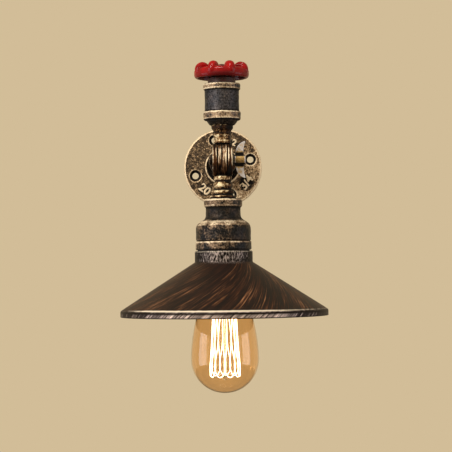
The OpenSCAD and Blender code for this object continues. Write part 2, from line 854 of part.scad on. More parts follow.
module holder_core() {
    color("#e9e2d4") turned([
        [1.5 + screw_fit, sleeve_z],
        [shell_r + shell_t + screw_fit, sleeve_z],
        [shell_r + shell_t + screw_fit, sleeve_z - core_skirt],
        [core_r, sleeve_z - core_skirt],
        [core_r, sleeve_z],
        [holder_r - cap_wall - screw_fit, sleeve_z],
        [holder_r - cap_wall - 1, sleeve_z + core_h],
        [1.5 + screw_fit, sleeve_z + core_h]
    ]);
}

module screw_shell() {
    color("#c9a24d") turned([
        [6, sleeve_z - shell_t],
        [shell_r, sleeve_z - shell_t],
        [shell_r, mouth_z + 3],
        [shell_r + shell_t, mouth_z + 3],
        [shell_r + shell_t, sleeve_z],
        [6, sleeve_z]
    ]);
}

module centre_contact() {
    color("#c9a24d") turned([
        [0, contact_z + passing_gap],
        [4, contact_z + passing_gap],
        [4, sleeve_z],
        [1.5, sleeve_z],
        [1.5, sleeve_z + core_h + 1],
        [0, sleeve_z + core_h + 1]
    ]);
}

module holder_sleeve() {
    color("#2b2623") turned([
        [holder_r - sleeve_t, mouth_z + 1.2],
        [holder_r - sleeve_t - 1.2, mouth_z],
        [holder_r - 0.8, mouth_z],
        [holder_r, mouth_z + 0.8],
        [holder_r, sleeve_z],
        [holder_r - sleeve_t, sleeve_z]
    ]);
}

// Shade

module gasket() {
    color("#1a1715") turned([
        [reducer_mouth_r, shade_z],
        [gasket_r, shade_z],
        [gasket_r, gasket_z],
        [reducer_mouth_r, gasket_z]
    ]);
}

module shade() {
    neck_r = shade_neck_d / 2;
    drop_t = shade_t / cos(cone_angle);
    hem_r = shade_d / 2 - rim_t;
    arc_z = cone_end - rim_r * cos(cone_angle);
    hem_top = cone_top - (hem_r - neck_r) * tan(cone_angle) - drop_t;
    color("#4a3222") turned(concat(
        [[shade_hole_r, shade_z]],
        [for (a = [90:-30:0]) [neck_r - cast_r + cast_r * cos(a), shade_z - cast_r + cast_r * sin(a)]],
        [[neck_r, cone_top + 0.6], [neck_r + 0.6, cone_top - 0.6 * tan(cone_angle)]],
        [for (a = [90 - cone_angle:-cone_angle / 2:0]) [shade_d / 2 - rim_r + rim_r * cos(a), arc_z + rim_r * sin(a)]],
        [[shade_d / 2, rim_low + 0.6], [shade_d / 2 - 0.6, rim_low], [hem_r, rim_low]],
        [[hem_r, hem_top], [neck_r - shade_t, cone_top + shade_t * tan(cone_angle) - drop_t]],
        [[neck_r - shade_t, shade_z - shade_t - 1], [neck_r - shade_t - 1, shade_z - shade_t]],
        [[shade_hole_r, shade_z - shade_t]]
    ));
}

module shade_ring() {
    top = shade_z - shade_t;
    low = top - shade_ring_h;
    color("#4a3a2c") turned([
        [holder_r + screw_fit, low],
        [holder_r + 2.4, low],
        [holder_r + 2.4, top - 2.2],
        [shade_ring_d / 2, top - 1.6],
        [shade_ring_d / 2, top],
        [holder_r + screw_fit, top]
    ]);
}

// Bulb

glass_neck_r = cap_d / 2 - 0.5;
glass_start = cap_low + 7;

// The glass from its neck to its tip, drawn inwards by the given amount
function glass_line(inset) =
    let (
        r = bulb_d / 2 - inset,
        neck = [glass_neck_r - inset, cap_low - 1.5],
        neck_pull = [glass_neck_r + 7 - inset, cap_low - 14],
        side_pull = [r, bulb_mid + 31],
        side = [r, bulb_mid]
    )
    concat(
        [[glass_neck_r - inset, glass_start]],
        [for (t = [0:0.1:0.95]) eased(neck, neck_pull, side_pull, side, t)],
        [for (a = [0:10:80]) [r * cos(a), bulb_mid - r * sin(a)]],
        [[0, bulb_mid - r]]
    );

module bulb_glass() {
    inner = glass_line(glass_t);
    color("#c8903c", 0.4) turned(concat(
        glass_line(0),
        [for (i = [len(inner) - 1:-1:0]) inner[i]]
    ));
}

module bulb_cap() {
    r = cap_d / 2;
    wall = 0.4;
    insulator_r = 6.5;
    color("#c0a468") turned([
        [r - wall, cap_low],
        [r, cap_low],
        [r, cap_z - 3],
        [insulator_r, cap_z],
        [insulator_r - 0.5, cap_z - 0.6],
        [r - wall, cap_z - 3.6]
    ]);
}

module cap_insulator() {
    color("#14110f") turned([
        [0, cap_z],
        [6.5, cap_z],
        [5, insulator_z],
        [0, insulator_z]
    ]);
}

module cap_contact() {
    color("#9a9a98") turned([
        [0, insulator_z],
        [4.8, insulator_z],
        [3.6, contact_z],
        [0, contact_z]
    ]);
}

// The stem closes the glass at its neck and ends in a rod that carries the support wires
module glass_stem() {
    flare_r = glass_neck_r - glass_t - screw_fit;
    pinch = cage_top + 12;
    color("#dfe6e2", 0.4) turned([
        [0, cage_low - 4],
        [rod_r, cage_low - 3],
        [rod_r, pinch - 6],
        [3.4, pinch],
        [4, pinch + 6],
        [flare_r, glass_start],
        [0, glass_start]
    ]);
}

hook_count = filament_runs / 2;
run_angle = 360 / filament_runs;

// Radius at which the straight link between two neighbouring runs lies at its middle
function link_r(d) = d / 2 * cos(run_angle / 2);

// Support wires reach from the rod to each link: the lower ones at even places, the upper ones at odd ones
module filament_supports() {
    color("#8f8f8c") on_lamp_axis() for (i = [0:hook_count - 1]) {
        wire(cage_low - filament_d, link_r(cage_bottom_d), (2 * i + 0.5) * run_angle);
        if (i < hook_count - 1) wire(cage_top + filament_d, link_r(cage_top_d), (2 * i + 1.5) * run_angle);
    }
}

module wire(z, reach, turn) {
    start = rod_r + 0.02;
    rotate([0, 0, turn]) translate([start, 0, z]) rotate([0, 90, 0])
        cylinder(d = support_d, h = reach - start, $fn = 16);
}

// Corners of the filament in order: each run goes up or down the cage and is followed by a link
function cage_point(i, up) =
    let (r = (up ? cage_top_d : cage_bottom_d) / 2)
    [r * cos(i * run_angle), r * sin(i * run_angle), up ? cage_top : cage_low];

filament_path = [
    for (i = [0:filament_runs - 1])
        for (second = [0, 1])
            cage_point(i, (i % 2 == 0) == (second == 0))
];

function unit(v) = v / norm(v);

// Direction of the path at a corner, halfway between what arrives and what leaves
function heading(path, i) =
    i == 0 ? unit(path[1] - path[0])
    : i == len(path) - 1 ? unit(path[i] - path[i - 1])
    : unit(unit(path[i] - path[i - 1]) + unit(path[i + 1] - path[i]));

// One six-sided ring round a corner; the mitre is widened so that the wire keeps its thickness
function filament_ring(path, i) =
    let (
        t = heading(path, i),
        out = unit([path[i].x, path[i].y, 0]),
        side = unit(cross(t, out)),
        lift = cross(side, t),
        inner = i > 0 && i < len(path) - 1,
        mitre = inner ? 1 / max(0.5, t * unit(path[i + 1] - path[i])) : 1
    )
    [for (a = [0:60:300]) path[i] + filament_d / 2 * (cos(a) * lift + sin(a) * mitre * side)];

module filament() {
    sides = 6;
    last = len(filament_path) - 1;
    color("#ffd9a0") on_lamp_axis() polyhedron(
        points = [for (i = [0:last]) each filament_ring(filament_path, i)],
        faces = concat(
            [[for (k = [0:sides - 1]) k]],
            [for (i = [0:last - 1]) for (k = [0:sides - 1])
                [i * sides + k, (i + 1) * sides + k, (i + 1) * sides + (k + 1) % sides]],
            [for (i = [0:last - 1]) for (k = [0:sides - 1])
                [i * sides + k, (i + 1) * sides + (k + 1) % sides, i * sides + (k + 1) % sides]],
            [[for (k = [sides - 1:-1:0]) last * sides + k]]
        )
    );
}

wall_flange();
wall_nipple();
fork();
pivot_bolt();
plain_washer();
spring_washer();
wing_nut();
tongue();
upper_neck();
upper_bush();
coupling();
bonnet();
gland_nut();
tap_stem();
handwheel();
wheel_washer();
wheel_screw();
lower_neck();
lower_bush();
reducer();
threaded_tube();
tube_nut();
holder_cap();
holder_core();
screw_shell();
centre_contact();
holder_sleeve();
gasket();
shade();
shade_ring();
bulb_glass();
bulb_cap();
cap_insulator();
cap_contact();
glass_stem();
filament_supports();
filament();
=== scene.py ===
# %% [markdown]
# # A rustic wall light
#
# The light is made of pipe fittings. A round flange is screwed to the wall, a short pipe carries a forked
# knuckle, and the knuckle holds a column: a coupling with a red handwheel above, a reducing socket with a wide
# copper-brushed shade below, and a filament lamp in it. The CAD model gives every piece its place and size, so
# this lesson only dresses it. It goes from the frame to the camera, then to the shapes, the finishes and the
# light.

# %% Load the frame
import math

import bmesh
import bpy
from mathutils import Matrix, Vector, geometry, noise


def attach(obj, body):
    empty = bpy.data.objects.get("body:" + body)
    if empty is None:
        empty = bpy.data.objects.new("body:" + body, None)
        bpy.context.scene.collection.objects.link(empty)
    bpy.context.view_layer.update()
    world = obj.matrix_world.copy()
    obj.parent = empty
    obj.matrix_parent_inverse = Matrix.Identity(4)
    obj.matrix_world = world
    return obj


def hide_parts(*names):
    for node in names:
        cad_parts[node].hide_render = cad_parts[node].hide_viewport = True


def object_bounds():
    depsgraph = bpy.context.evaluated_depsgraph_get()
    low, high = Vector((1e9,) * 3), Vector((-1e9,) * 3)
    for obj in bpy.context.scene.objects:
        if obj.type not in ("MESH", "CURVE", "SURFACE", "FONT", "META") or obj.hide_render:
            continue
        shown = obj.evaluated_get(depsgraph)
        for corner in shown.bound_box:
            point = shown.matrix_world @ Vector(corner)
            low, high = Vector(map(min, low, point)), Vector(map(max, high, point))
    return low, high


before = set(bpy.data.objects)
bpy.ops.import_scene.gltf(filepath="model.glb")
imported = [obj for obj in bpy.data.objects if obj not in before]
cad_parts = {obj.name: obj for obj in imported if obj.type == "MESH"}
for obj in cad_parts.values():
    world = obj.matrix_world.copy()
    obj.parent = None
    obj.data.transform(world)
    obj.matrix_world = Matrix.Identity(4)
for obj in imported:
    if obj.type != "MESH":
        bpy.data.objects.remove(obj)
cad_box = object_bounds()
scene = bpy.context.scene
print("CAD box in mm:", [[round(1000 * v) for v in corner] for corner in cad_box])

# %% [markdown]
# All sizes below are in millimetres, because that is how a fitting is measured, and MM turns them to Blender's
# metres. The lamp's axis is upright and stands LAMP_OUT in front of the wall. The pivot bolt crosses it at
# height zero, so every height is counted from that bolt.

# %% Units and axes
MM = 0.001
LAMP_OUT = 120
LAMP_AXIS = Vector((0, -LAMP_OUT * MM, 0))
TO_LAMP = Matrix.Translation(LAMP_AXIS)
TO_BOLT = TO_LAMP @ Matrix.Rotation(math.radians(90), 4, "Y")
TO_WALL = Matrix.Rotation(math.radians(90), 4, "X")
print("The lamp's axis stands", LAMP_OUT, "mm in front of the wall")

# %% [markdown]
# The photograph was taken from straight ahead with a long lens, at about the height of the shade, because the
# rim is seen as a thin line and the shade's inside isn't seen. A camera set by its place, its pitch and a
# small roll repeats that view. Aiming it at a target would be shorter, but then it could not be rolled.

# %% Camera
CAMERA_PLACE = (0.00245, -1.62, -0.104)  # metres
CAMERA_PITCH, CAMERA_ROLL = 91.588, -0.7  # degrees
FOCAL_LENGTH, SENSOR_WIDTH = 127, 36  # millimetres
lens = bpy.data.cameras.new("camera")
lens.lens = FOCAL_LENGTH
lens.sensor_width = SENSOR_WIDTH
camera = bpy.data.objects.new("camera", lens)
camera.matrix_world = (
    Matrix.Translation(CAMERA_PLACE)
    @ Matrix.Rotation(math.radians(CAMERA_PITCH), 4, "X")
    @ Matrix.Rotation(math.radians(CAMERA_ROLL), 4, "Z")
)
scene.collection.objects.link(camera)
scene.camera = camera
print("Camera stands", round(-camera.location.y, 3), "m in front of the wall")

# %% [markdown]
# Most of this light was turned or cast round an axis. In Blender such a shape can come from a stack of
# cylinders, from a lathe modifier, or from an outline that is spun. The spun outline is chosen, because the
# same few numbers that a turner would read off a drawing then make the piece. Each corner of the outline has a
# radius, a height, how far it is rounded, and how much of the rubbed-on bronze wax stays there: 1 is a bright
# edge, 0 is the bare black ground, and -1 is a recess full of soot and painted shade.

# %% Turned pieces
TOUCHING = 1e-6  # metres: points closer than this are merged


def outline_wire(corners, closed, step):
    """A wire outline in the XZ plane: corners of (radius, height, rounding, wax), all in mm."""
    wire = bmesh.new()
    wax = wire.verts.layers.float.new("wax")
    points = [wire.verts.new((r * MM, 0, z * MM)) for r, z, _, _ in corners]
    for point, corner in zip(points, corners):
        point[wax] = corner[3]
    pairs = list(zip(points, points[1:])) + ([(points[-1], points[0])] if closed else [])
    for pair in pairs:
        wire.edges.new(pair)
    for soft in sorted({corner[2] for corner in corners if corner[2] > 0}):
        chosen = [point for point, corner in zip(points, corners) if corner[2] == soft]
        bmesh.ops.bevel(wire, geom=chosen, offset=soft * MM, offset_type="OFFSET", segments=4,
                        profile=0.5, affect="VERTICES", material=-1)
    for cuts in range(12, 0, -1):
        long_edges = [e for e in wire.edges if e.calc_length() > (cuts + 0.5) * step * MM]
        bmesh.ops.subdivide_edges(wire, edges=long_edges, cuts=cuts)
    return wire


def spun(corners, closed=True, steps=160, step=0.8):
    """The outline turned once round Z, merged and with its faces pointing outwards."""
    shape = outline_wire(corners, closed, step)
    bmesh.ops.spin(shape, geom=list(shape.verts) + list(shape.edges), cent=(0, 0, 0), axis=(0, 0, 1),
                   angle=2 * math.pi, steps=steps, use_merge=True)
    bmesh.ops.remove_doubles(shape, verts=shape.verts, dist=TOUCHING)
    bmesh.ops.recalc_face_normals(shape, faces=shape.faces)
    return shape


# %% [markdown]
# A casting is never quite smooth: the sand leaves a soft unevenness of a tenth of a millimetre over a few
# millimetres. A displacement modifier could add it, but moving the vertices once by a noise keeps the piece
# plain and lets the highlights wander as they do on the real fittings.

# %% Casting skin and finished pieces
SKIN_SIZE = 5.0  # mm, about the distance from one bump of the skin to the next


def roughen(shape, height):
    """Moves every vertex along its normal by a soft noise: height in mm."""
    shape.normal_update()
    for vert in shape.verts:
        place = vert.co / (SKIN_SIZE * MM)
        bump = noise.noise(place) + 0.5 * noise.noise(place * 2.7)
        vert.co += vert.normal * bump * height * MM


def add_piece(name, shape, body, nodes, sharp=40):
    """Makes the mesh an object that rides on a body and stands for CAD nodes."""
    mesh = bpy.data.meshes.new(name)
    shape.to_mesh(mesh)
    shape.free()
    mesh.shade_smooth()
    mesh.set_sharp_from_angle(angle=math.radians(sharp))
    piece = bpy.data.objects.new(name, mesh)
    scene.collection.objects.link(piece)
    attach(piece, body)
    if nodes:
        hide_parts(*nodes)
    print(f"{name}: {len(mesh.polygons)} faces")
    return piece


def turned_piece(name, corners, body, nodes, slot, cast=0.0, **spin):
    """A spun outline on the lamp's axis: cast is the height of its casting skin in mm."""
    shape = spun(corners, **spin)
    if cast:
        roughen(shape, cast)
    bmesh.ops.transform(shape, matrix=TO_LAMP, verts=shape.verts)
    return add_piece(name, shape, body, nodes)


# %% [markdown]
# The coupling is a pipe socket with a raised bead at each end. The edges of the beads are where a hand and a
# wrench touch it, so there the bronze shows as a thin bright line. The face of a bead is half worn, the body
# between them stays black, and soot and painted shade fill the corner under each bead.

# %% Coupling, bonnet and upper bush
coupling = turned_piece("pipe_coupling", [
    (13.25, 37.2, 0.4, -0.6), (16.4, 37.2, 0.5, -0.8), (17.4, 38.0, 0.4, -0.4), (17.6, 38.7, 0.3, 0.9),
    (17.6, 39.5, 0.3, 0.6), (17.45, 41.0, 0, 0.42), (17.6, 43.6, 0, 0.46), (17.6, 44.9, 0.6, 0.95),
    (16.9, 45.3, 0.3, 0.2), (16.35, 45.7, 0.3, -0.9), (16.25, 47.5, 0, -0.05), (16.1, 55.4, 0, 0.05),
    (16.25, 64.2, 0, -0.05), (16.35, 65.7, 0.3, -0.9), (16.9, 66.1, 0.3, 0.2), (17.6, 66.6, 0.6, 0.95),
    (17.45, 68.2, 0, 0.5), (17.6, 70.0, 0, 0.62), (17.6, 71.2, 0.5, 1.1), (16.9, 71.7, 0.3, 0.8),
    (13.25, 71.7, 0.4, -0.2),
], "lamp", ["coupling"], "blackened_iron", cast=0.16)

bonnet = turned_piece("tap_bonnet", [
    (0, 62.0, 0, -1), (13.1, 62.0, 0.5, -1), (13.1, 71.8, 0, -1), (13.1, 76.8, 0, -0.4),
    (12.3, 77.5, 0.3, -0.2), (5.6, 77.5, 0.2, -0.8), (5.6, 74.5, 0, -1), (0, 74.5, 0, -1),
], "lamp", ["bonnet"], "dark_steel", closed=False)

upper_bush = turned_piece("bush_above_knuckle", [
    (4.95, 32.7, 0, -1), (11.6, 32.7, 0.2, -0.6), (12.1, 33.1, 0.3, 0.1), (14.5, 36.3, 0.3, -0.1),
    (14.4, 37.2, 0, -0.8), (13.1, 37.25, 0, -1), (13.1, 49.0, 0.4, -1), (4.95, 50.0, 0, -1),
], "lamp", ["upper_bush"], "blackened_iron", cast=0.06)

# %% [markdown]
# The necks above and below the knuckle are little balusters. Their beads are soft, and the grooves between
# them hold the dark wax.

# %% Necks and lower bush
upper_neck = turned_piece("neck_above_knuckle", [
    (4.95, 15.3, 0, -1), (7.6, 15.3, 0.3, -0.6), (8.25, 16.3, 0.6, 0.6), (8.25, 18.0, 0.6, 0.8),
    (7.7, 19.2, 0.5, 0.65), (7.7, 21.6, 0.5, 0.7), (8.25, 22.6, 0.6, 0.9), (8.25, 24.1, 0.5, 0.5),
    (7.8, 24.9, 0.4, -0.3), (8.2, 27.0, 1.2, 0.3), (9.7, 28.7, 0.6, 0.15), (9.7, 29.2, 0.2, -1),
    (10.2, 29.5, 0.3, -0.3), (10.2, 31.6, 0, -0.2), (10.2, 32.7, 0.5, 0.75), (4.95, 32.7, 0, -1),
], "lamp", ["upper_neck"], "bronze_cast", cast=0.16, step=0.5)

lower_neck = turned_piece("neck_below_knuckle", [
    (4.95, -15.3, 0, -1), (7.9, -15.3, 0.4, -0.4), (8.5, -16.1, 0.6, 0.7), (8.5, -18.5, 0.7, 0.8),
    (7.7, -19.7, 0.3, -0.5), (7.7, -20.9, 0.3, -0.4), (8.9, -21.7, 1.2, 0.7), (9.05, -24.2, 1.4, 0.8),
    (8.7, -26.6, 1.2, 0.5), (8.1, -27.5, 0.3, -0.9), (8.1, -28.8, 0.3, -0.9), (10.5, -28.9, 1.0, 0.8),
    (10.5, -32.0, 1.0, 0.5), (9.5, -32.1, 0.2, -1), (9.5, -34.0, 0.2, -0.8), (4.95, -34.0, 0, -1),
], "lamp", ["lower_neck"], "bronze_cast", cast=0.18, step=0.5)

lower_bush = turned_piece("bush_in_reducer", [
    (4.95, -34.0, 0, -1), (9.5, -34.0, 0, -0.8), (12.25, -34.0, 0.6, 0.9), (12.25, -36.8, 0.6, -0.4),
    (11.0, -36.85, 0, -1), (11.0, -47.5, 0.4, -1), (4.95, -48.0, 0, -1),
], "lamp", ["lower_bush"], "bronze_cast", cast=0.05)

# %% [markdown]
# The reducing socket is the heaviest casting of the column. Its shoulder is an S-curve from the waist to the
# body, which catches the brightest light of all, so the outline has several corners there instead of one.

# %% Reducer
reducer = turned_piece("reducing_socket", [
    (11.05, -36.8, 0.4, -0.6), (16.8, -36.8, 0.5, 0.3), (18.0, -37.7, 0.7, 1.0), (17.9, -38.9, 0, 0.5),
    (17.95, -42.4, 0, 0.5), (18.0, -43.7, 0.7, 0.8), (17.0, -44.6, 0.3, 0.0), (16.45, -45.0, 0.3, -1),
    (16.35, -47.6, 0, -0.1), (16.35, -53.2, 1.6, -0.1), (17.4, -55.6, 1.2, -0.5), (19.4, -57.1, 1.2, 0.4),
    (21.9, -58.4, 1.6, 0.95), (24.7, -60.6, 1.6, 0.75), (25.8, -63.6, 1.5, 0.4), (25.8, -68.0, 0, 0.22),
    (25.8, -74.8, 0, 0.2), (25.8, -75.8, 0.3, 0.3), (25.0, -76.0, 0.1, -1.4), (25.0, -76.6, 0.1, -1.4),
    (26.0, -76.8, 0.2, 0.5), (26.2, -77.5, 0.3, 0.95), (26.1, -78.9, 0, 0.45), (26.2, -82.8, 0, 0.45),
    (26.2, -84.2, 0.5, 0.3), (25.6, -84.8, 0.3, -1), (20.5, -84.8, 0.4, -1), (20.5, -64.0, 3.0, -1),
    (11.05, -52.0, 3.0, -1),
], "lamp", ["reducer"], "blackened_iron", cast=0.2, steps=192)

# %% [markdown]
# The shade is spun from a disc of sheet steel on a lathe: a straight neck, a cone, and a rim folded down. The
# outline therefore has two skins, 0.9 mm apart, and the folded rim is thicker than the sheet.

# %% Shade
shade = turned_piece("spun_shade", [
    (19.4, -85.8, 0, -1), (26.3, -85.8, 0.4, 0.0), (27.2, -86.6, 0.5, 0.5), (27.2, -87.4, 0, 0.0),
    (27.2, -94.6, 0, 0.1), (27.2, -96.3, 0.5, 0.1), (29.5, -97.8, 0, -0.1), (61.0, -117.9, 0, 0),
    (93.2, -138.5, 0, 0.1), (94.2, -139.2, 0, 0.4), (95.9, -140.3, 0.6, 1.2), (96.9, -141.1, 0.4, -0.2),
    (97.6, -142.0, 0.5, -0.9), (97.6, -143.6, 0, -0.3), (97.6, -144.6, 0, 0.2), (97.6, -145.9, 0, 0.2),
    (97.6, -146.4, 0, -0.8), (97.6, -147.0, 0.5, -0.9), (95.8, -147.0, 0.5, -0.9), (95.8, -141.3, 0.5, -0.5),
    (61.0, -119.0, 0, 0), (26.3, -96.8, 0.8, 0), (26.3, -87.6, 1.0, 0), (25.4, -86.7, 0.3, 0),
    (19.4, -86.7, 0, 0),
], "lamp", ["shade"], "copper_brushed_steel", steps=256, step=1.5)

# %% [markdown]
# The pear-shaped glass is blown, so its outline is one long curve from the neck to the belly and a round end.
# A Bezier curve gives that line, and the inner skin is the same line moved in by the glass's thickness, which
# lets light bend as it does in a real bulb.

# %% Glass bulb
NECK_RADIUS, BELLY_RADIUS, GLASS_THICKNESS = 12.7, 32.0, 0.8
NECK_TOP, NECK_FOOT, BELLY_MIDDLE = -100.8, -109.3, -187.2


def glass_outline(inset):
    """The glass's line from its neck to its lowest point, moved in by inset mm."""
    neck, belly = NECK_RADIUS - inset, BELLY_RADIUS - inset
    side = geometry.interpolate_bezier(
        Vector((neck, NECK_FOOT, 0)), Vector((neck + 7, -121.5, 0)),
        Vector((belly, -156.6, 0)), Vector((belly, BELLY_MIDDLE, 0)), 40)
    tip = [(belly * math.cos(a), BELLY_MIDDLE - belly * math.sin(a))
           for a in [math.radians(5 * i) for i in range(1, 18)]]
    line = [(neck, NECK_TOP)] + [(p.x, p.y) for p in side] + tip + [(0, BELLY_MIDDLE - belly)]
    return [(r, z, 0, 0) for r, z in line]


glass = turned_piece("glass_bulb", glass_outline(0) + list(reversed(glass_outline(GLASS_THICKNESS))),
                     "bulb", ["bulb_glass"], "amber_glass", steps=96, step=30)

# %% [markdown]
# The fork, the flange, the handwheel and the wing nut were cast in sand, so no corner is sharp and every
# inside corner is filled a little. The CAD solids have the right sizes but crisp edges. A copy of the solid,
# merged, remeshed in small voxels and smoothed, gets those rounded edges without a bevel on each of them.

# %% Rounded copies from the frame
def taken(mesh):
    """A bmesh with the shape of a mesh, which is removed."""
    shape = bmesh.new()
    shape.from_mesh(mesh)
    bpy.data.meshes.remove(mesh)
    return shape


def from_frame(node):
    """A merged copy of a CAD node's mesh."""
    copy = bmesh.new()
    copy.from_mesh(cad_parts[node].data)
    bmesh.ops.remove_doubles(copy, verts=copy.verts, dist=TOUCHING)
    return copy


def remeshed(shape, voxel, passes):
    """A voxel skin of the shape, smoothed: voxel in mm."""
    mesh = bpy.data.meshes.new("skin")
    shape.to_mesh(mesh)
    shape.free()
    holder = bpy.data.objects.new("skin", mesh)
    scene.collection.objects.link(holder)
    skin = holder.modifiers.new("skin", "REMESH")
    skin.mode = "VOXEL"
    skin.voxel_size = voxel * MM
    relax = holder.modifiers.new("relax", "SMOOTH")
    relax.factor = 0.5
    relax.iterations = passes
    baked = bpy.data.meshes.new_from_object(holder.evaluated_get(bpy.context.evaluated_depsgraph_get()))
    bpy.data.objects.remove(holder)
    bpy.data.meshes.remove(mesh)
    return taken(baked)


# %% [markdown]
# No outline says where the wax stays on a casting, so its own shape has to. A cloth rubs what stands out, and
# hollows keep their soot and get painted shade. How far a vertex stands out from its neighbours tells which of
# the two it is, and a few rounds of averaging even that out.

# %% Wax from the shape
FULL_EDGE, EDGE_GAIN = 1.5, 0.7  # the rounding in mm that counts as a full edge, and the wax that it gets
AVERAGING_ROUNDS = 3


def limited(wax):
    """Wax kept between -1, the darkest, and 1.2, the brightest bronze."""
    return min(1.2, max(-1, wax))


def mark_edges(shape, ground):
    """Gives convex places more wax than the ground has, and concave ones less, which paints dark dirt and
    painted shade into them.
    """
    wax = shape.verts.layers.float.new("wax")
    shape.normal_update()
    bend = {}
    for vert in shape.verts:
        near = [edge.other_vert(vert) for edge in vert.link_edges]
        middle = sum((other.co for other in near), Vector()) / len(near)
        size = sum((other.co - vert.co).length for other in near) / len(near)
        bend[vert] = (vert.co - middle).dot(vert.normal) / (size * size) * FULL_EDGE * MM * 2
    for _ in range(AVERAGING_ROUNDS):
        bend = {vert: (bend[vert] + sum(bend[e.other_vert(vert)] for e in vert.link_edges))
                / (1 + len(vert.link_edges)) for vert in shape.verts}
    for vert in shape.verts:
        vert[wax] = limited(ground + EDGE_GAIN * bend[vert])
    return wax


# %% [markdown]
# Every casting goes through the same steps: the rounded copy, its wax, the paint that belongs to this piece
# alone, the rough skin, and last what is cast onto it. The skin could push points out of the CAD model's box,
# so these are moved back to the side of the box.

# %% Castings
def kept_inside(shape):
    """Moves the points that the rough skin pushed out of the CAD box back to its sides."""
    low, high = cad_box
    for vert in shape.verts:
        vert.co = [min(max(value, least), most) for value, least, most in zip(vert.co, low, high)]


def joined(*shapes):
    """One bmesh from several."""
    whole = bmesh.new()
    for shape in shapes:
        part = bpy.data.meshes.new("part")
        shape.to_mesh(part)
        shape.free()
        whole.from_mesh(part)
        bpy.data.meshes.remove(part)
    return whole


def casting(name, node, body, voxel, passes=4, rough=0.08, ground=0.3, paint=None, extra=None):
    """A cast piece from a CAD node. paint(point, wax) may change the wax of a point that is given in mm."""
    shape = remeshed(from_frame(node), voxel, passes)
    wax = mark_edges(shape, ground)
    if paint:
        for vert in shape.verts:
            vert[wax] = paint(vert.co / MM, vert[wax])
    roughen(shape, rough)
    kept_inside(shape)
    if extra:
        shape = joined(shape, extra)
    return add_piece(name, shape, body, [node], sharp=180 if extra is None else 50)


# %% [markdown]
# The flange has raised figures cast on it, as pipe fittings have for their size. Text becomes a mesh and gets
# a place on the plate. It isn't bent round the boss, because three short figures look the same without that.
# Only plain numbers are used.

# %% Figures on the flange
# A figure's text and size, its turn and reach on the flange, its lean, and how far the soot and painted shade
# round it go.
FIGURES = [
    ("20", 11.5, 230, 28.8, -40, 7.0),
    ("3/4", 11.5, 327, 28.4, 54, 8.5),
    ("2", 9.0, 65, 27.5, -25, 5.0),
]
FIGURE_HEIGHT, FIGURE_DEPTH = 1.3, -5.2  # mm: their thickness, and where their middle lies before the wall


def shape_of_curve(curve):
    """A bmesh with the shape of a curve or a text."""
    holder = bpy.data.objects.new("holder", curve)
    mesh = bpy.data.meshes.new_from_object(holder)
    bpy.data.objects.remove(holder)
    return taken(mesh)


def on_flange(turn, reach):
    """X and Z of a place on the flange: turn in degrees from X to Z, reach from the middle."""
    return reach * math.cos(math.radians(turn)), reach * math.sin(math.radians(turn))


def raised_figure(text, size, turn, reach, lean):
    """One figure cast on the flange, with a bright face and a dark back."""
    curve = bpy.data.curves.new("figure", "FONT")
    curve.body = text
    curve.size = size * MM
    curve.extrude = FIGURE_HEIGHT / 2 * MM
    curve.bevel_depth = 0.25 * MM
    curve.bevel_resolution = 1
    curve.offset = 0.15 * MM
    curve.align_x = "CENTER"
    curve.align_y = "CENTER"
    figure = shape_of_curve(curve)
    bmesh.ops.remove_doubles(figure, verts=figure.verts, dist=TOUCHING)
    wax = figure.verts.layers.float.new("wax")
    for vert in figure.verts:
        vert[wax] = 1.2 if vert.co.z > 0 else -1
    x, z = on_flange(turn, reach * MM)
    place = (Matrix.Translation((x, FIGURE_DEPTH * MM, z)) @ TO_WALL
             @ Matrix.Rotation(math.radians(lean), 4, "Z"))
    bmesh.ops.transform(figure, matrix=place, verts=figure.verts)
    return figure


# %% [markdown]
# The cloth with the wax reached the flange's rim, its boss and the edges of its screw holes, and the rings
# round the boss and the holes also get a painted highlight. The lower right of the plate gets painted light.
# The holes and the boss's mouth get painted shade, and the places round the figures soot and painted shade. A
# paint function says this for each point, and it counts distances from the flange's middle and from the holes.

# %% Flange
HOLE_REACH, HOLE_TURNS = 29, (16, 106, 196, 286)
RIM_REACH, BOSS_REACH = 38.1, 17.2


def between(value, low, high):
    """0 below low, 1 above high, and a straight line between them; low may be the larger one."""
    return min(1, max(0, (value - low) / (high - low)))


def flange_paint(point, wax):
    """A bright rim, painted light on the lower right, rings with a painted highlight round each screw hole and
    the boss, and painted shade inside them.
    """
    reach = math.hypot(point.x, point.z)
    # a bright rubbed rim, and painted light on the lower right of the plate
    wax += 1.0 * between(reach, 37.6, RIM_REACH) + 0.5 * between(point.x - point.z, -10, 45)
    # a rubbed ring with a painted highlight round the boss, weaker at its right
    wax += (0.5 - 0.4 * between(point.x, 0, 12)) * between(abs(reach - BOSS_REACH), 0.7, 0.3)
    # painted shade in the boss's mouth
    wax -= 2 * between(reach, 16.6, 15.9)
    for turn in HOLE_TURNS:
        x, z = on_flange(turn, HOLE_REACH)
        beside = math.hypot(point.x - x, point.z - z)
        # a rubbed ring with a painted highlight round each hole, and painted shade inside it
        wax += 0.6 * between(abs(beside - 6.2), 0.7, 0.2)
        wax -= 2.2 * between(beside, 5.9, 5.4)
    front = between(point.y, -3, -4.5)
    # soot and painted shade round the figures, on the front only
    for _, _, turn, ring, _, soot_and_shade in FIGURES:
        x, z = on_flange(turn, ring)
        wax -= 1.5 * front * between(math.hypot(point.x - x, point.z - z), soot_and_shade, soot_and_shade - 2.5)
    return limited(wax)


flange = casting("floor_flange", "wall_flange", "wall_side", 0.5, rough=0.2, ground=0.15,
                 paint=flange_paint, extra=joined(*[raised_figure(*figure[:5]) for figure in FIGURES]))

# %% [markdown]
# The fork, the wing nut and the handwheel need only their paint. The rims of the ears get a band of painted
# light just above the bolt and painted shade above and below it, and soot stays between them. The roots of the
# wing nut's wings get painted shade, and so do the hollow under the handwheel and the lower half of its wall.

# %% Fork, wing nut and handwheel
def lit_band(height):
    """How much painted light the knuckle gets at a height in mm: most just above the bolt, none near the top
    and at the bottom.
    """
    return between(height, 13, 9) * between(height, -7, 1)


